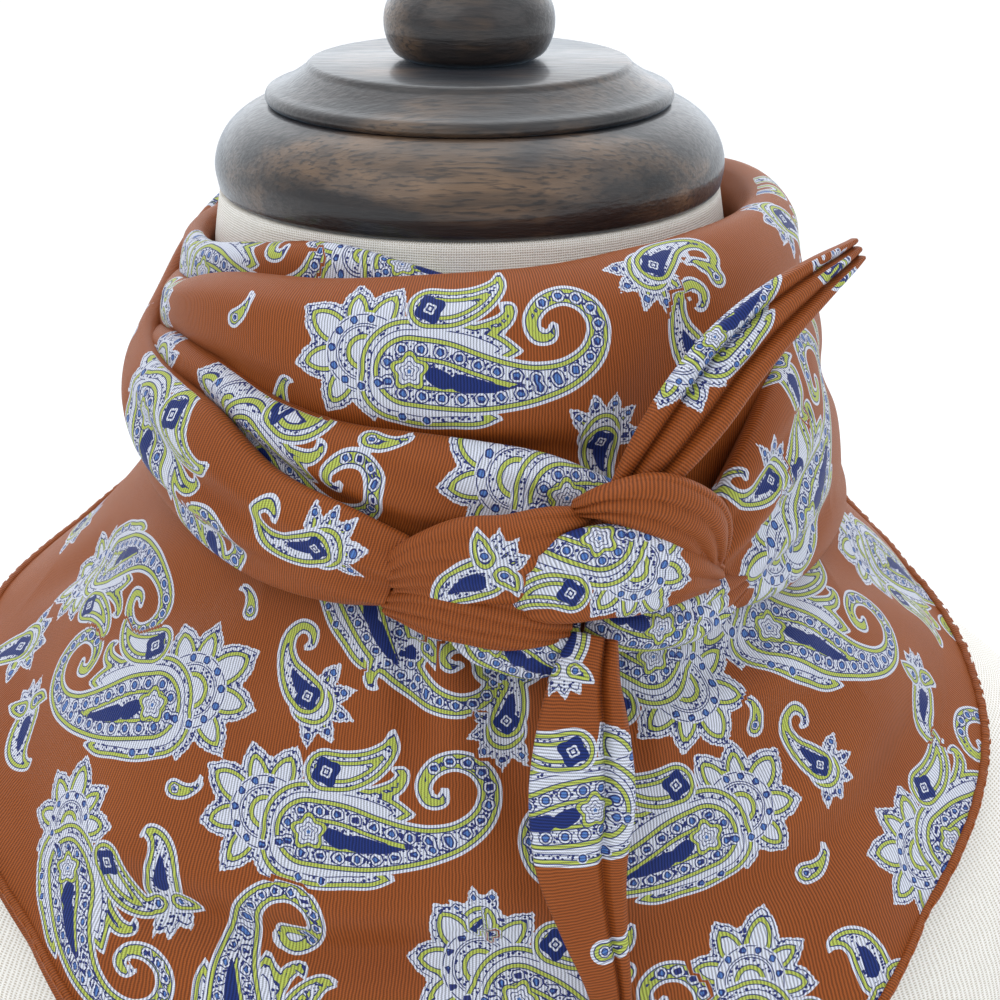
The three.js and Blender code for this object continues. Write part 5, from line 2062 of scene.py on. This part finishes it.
BIB_CREASES = (
    Crease(((-9, -60), (-8, -72), (-7, -84), (-6, -96)), 3.2, 2.8),
    Crease(((-4, -62), (-3, -76), (-2, -90)), 4, -2.4),
    Crease(((1, -64), (3, -78), (4, -96), (6, -112)), 6, 4.4),
    Crease(((14, -68), (17, -84), (18, -100)), 5, 3.4),
    Crease(((-42, -122), (-34, -124), (-25, -127), (-14, -131), (0, -130), (14, -126)), 5, 4),
    Crease(((14, -126), (25, -122), (36, -119), (50, -112), (62, -106)), 5.5, 3.4),
    Crease(((-44, -115), (-30, -117), (-14, -121), (2, -120)), 6, -2.2),
    Crease(((16, -84), (28, -82), (40, -78), (52, -74)), 4.6, 3),
    Crease(((20, -98), (34, -96), (50, -92)), 6, 2.4),
    Crease(((22, -90), (34, -88), (48, -84)), 5, -1.6),
    Crease(((-28, -64), (-42, -74), (-58, -88)), 7, 2.8),
    Crease(((-18, -62), (-24, -74), (-28, -90)), 8, 1.8),
    Crease(((-60, -74), (-74, -84), (-84, -98)), 6, 2.2),
    Crease(((58, -76), (72, -86), (82, -98)), 6, 2.4),
    Crease(((-96, -66), (-100, -80), (-106, -92)), 6, 2.2),
    Crease(((92, -74), (98, -86), (104, -94)), 6, 2.2),
    Crease(((-8, -150), (4, -166), (6, -190)), 8, 2.6),
)


def stretches() -> list[WoundStretch]:
    """The stretches wound round the neck."""
    fold, left, right = Gather(3.5, 0.7, 0.5), Gather(4.5, 0.9, 0.25), Gather(4.5, 1.0, 0.3, True)
    return [
        WoundStretch("front_band", FRONT_BAND, (0.31, 0.08), FRONT_BAND_CREASES, None, FRONT_BAND_PRINTS),
        WoundStretch("inner_roll", INNER_ROLL, (0.18, 0.032), prints=INNER_ROLL_PRINTS),
        WoundStretch("left_fold", LEFT_FOLD, (0.165, 0.035), LEFT_FOLD_CREASES, fold, LEFT_FOLD_PRINTS),
        WoundStretch("left_wrap", LEFT_WRAP, (0.32, 0.055), LEFT_WRAP_CREASES, left, LEFT_WRAP_PRINTS),
        WoundStretch("right_wrap", RIGHT_WRAP, (0.31, 0.056), RIGHT_WRAP_CREASES, right, RIGHT_WRAP_PRINTS),
    ]


def main() -> None:
    """Builds the studio, the form and the bandana, and reports each piece."""
    logging.basicConfig(level=logging.INFO, format="%(message)s")
    Studio().build()
    silk = SilkTwill().build()
    hem_silk = SilkTwill(printed=False, name="hem_silk").build()
    pieces = DressForm().build(Linen().build(), StainedWood().build())
    for stretch in stretches():
        piece = stretch.build()
        stretch.dress(piece, silk)
        pieces.append(piece)
    bib = Bib(creases=BIB_CREASES, prints=BIB_PRINTS)
    hems = []
    for hem in (RolledHem("hem_left", 0.002, 0.498), RolledHem("hem_right", 0.502, 0.998)):
        roll = hem.build(bib, hem_silk)
        hem.dress(roll)
        hems.append(roll)
    cloth = bib.build()
    under = bib.build_under()
    bib.dress(cloth, under, hems, silk)
    pieces += [cloth, under, *hems]
    for part in [*knots(), *tails()]:
        piece = part.build()
        part.dress(piece, silk)
        pieces.append(piece)
    for piece in pieces:
        area = sum(face.area for face in piece.data.polygons) / 2
        LOG.info("%s: %d faces, %.4f square metres a side", piece.name, len(piece.data.polygons), area)


if __name__ == "__main__":
    main()
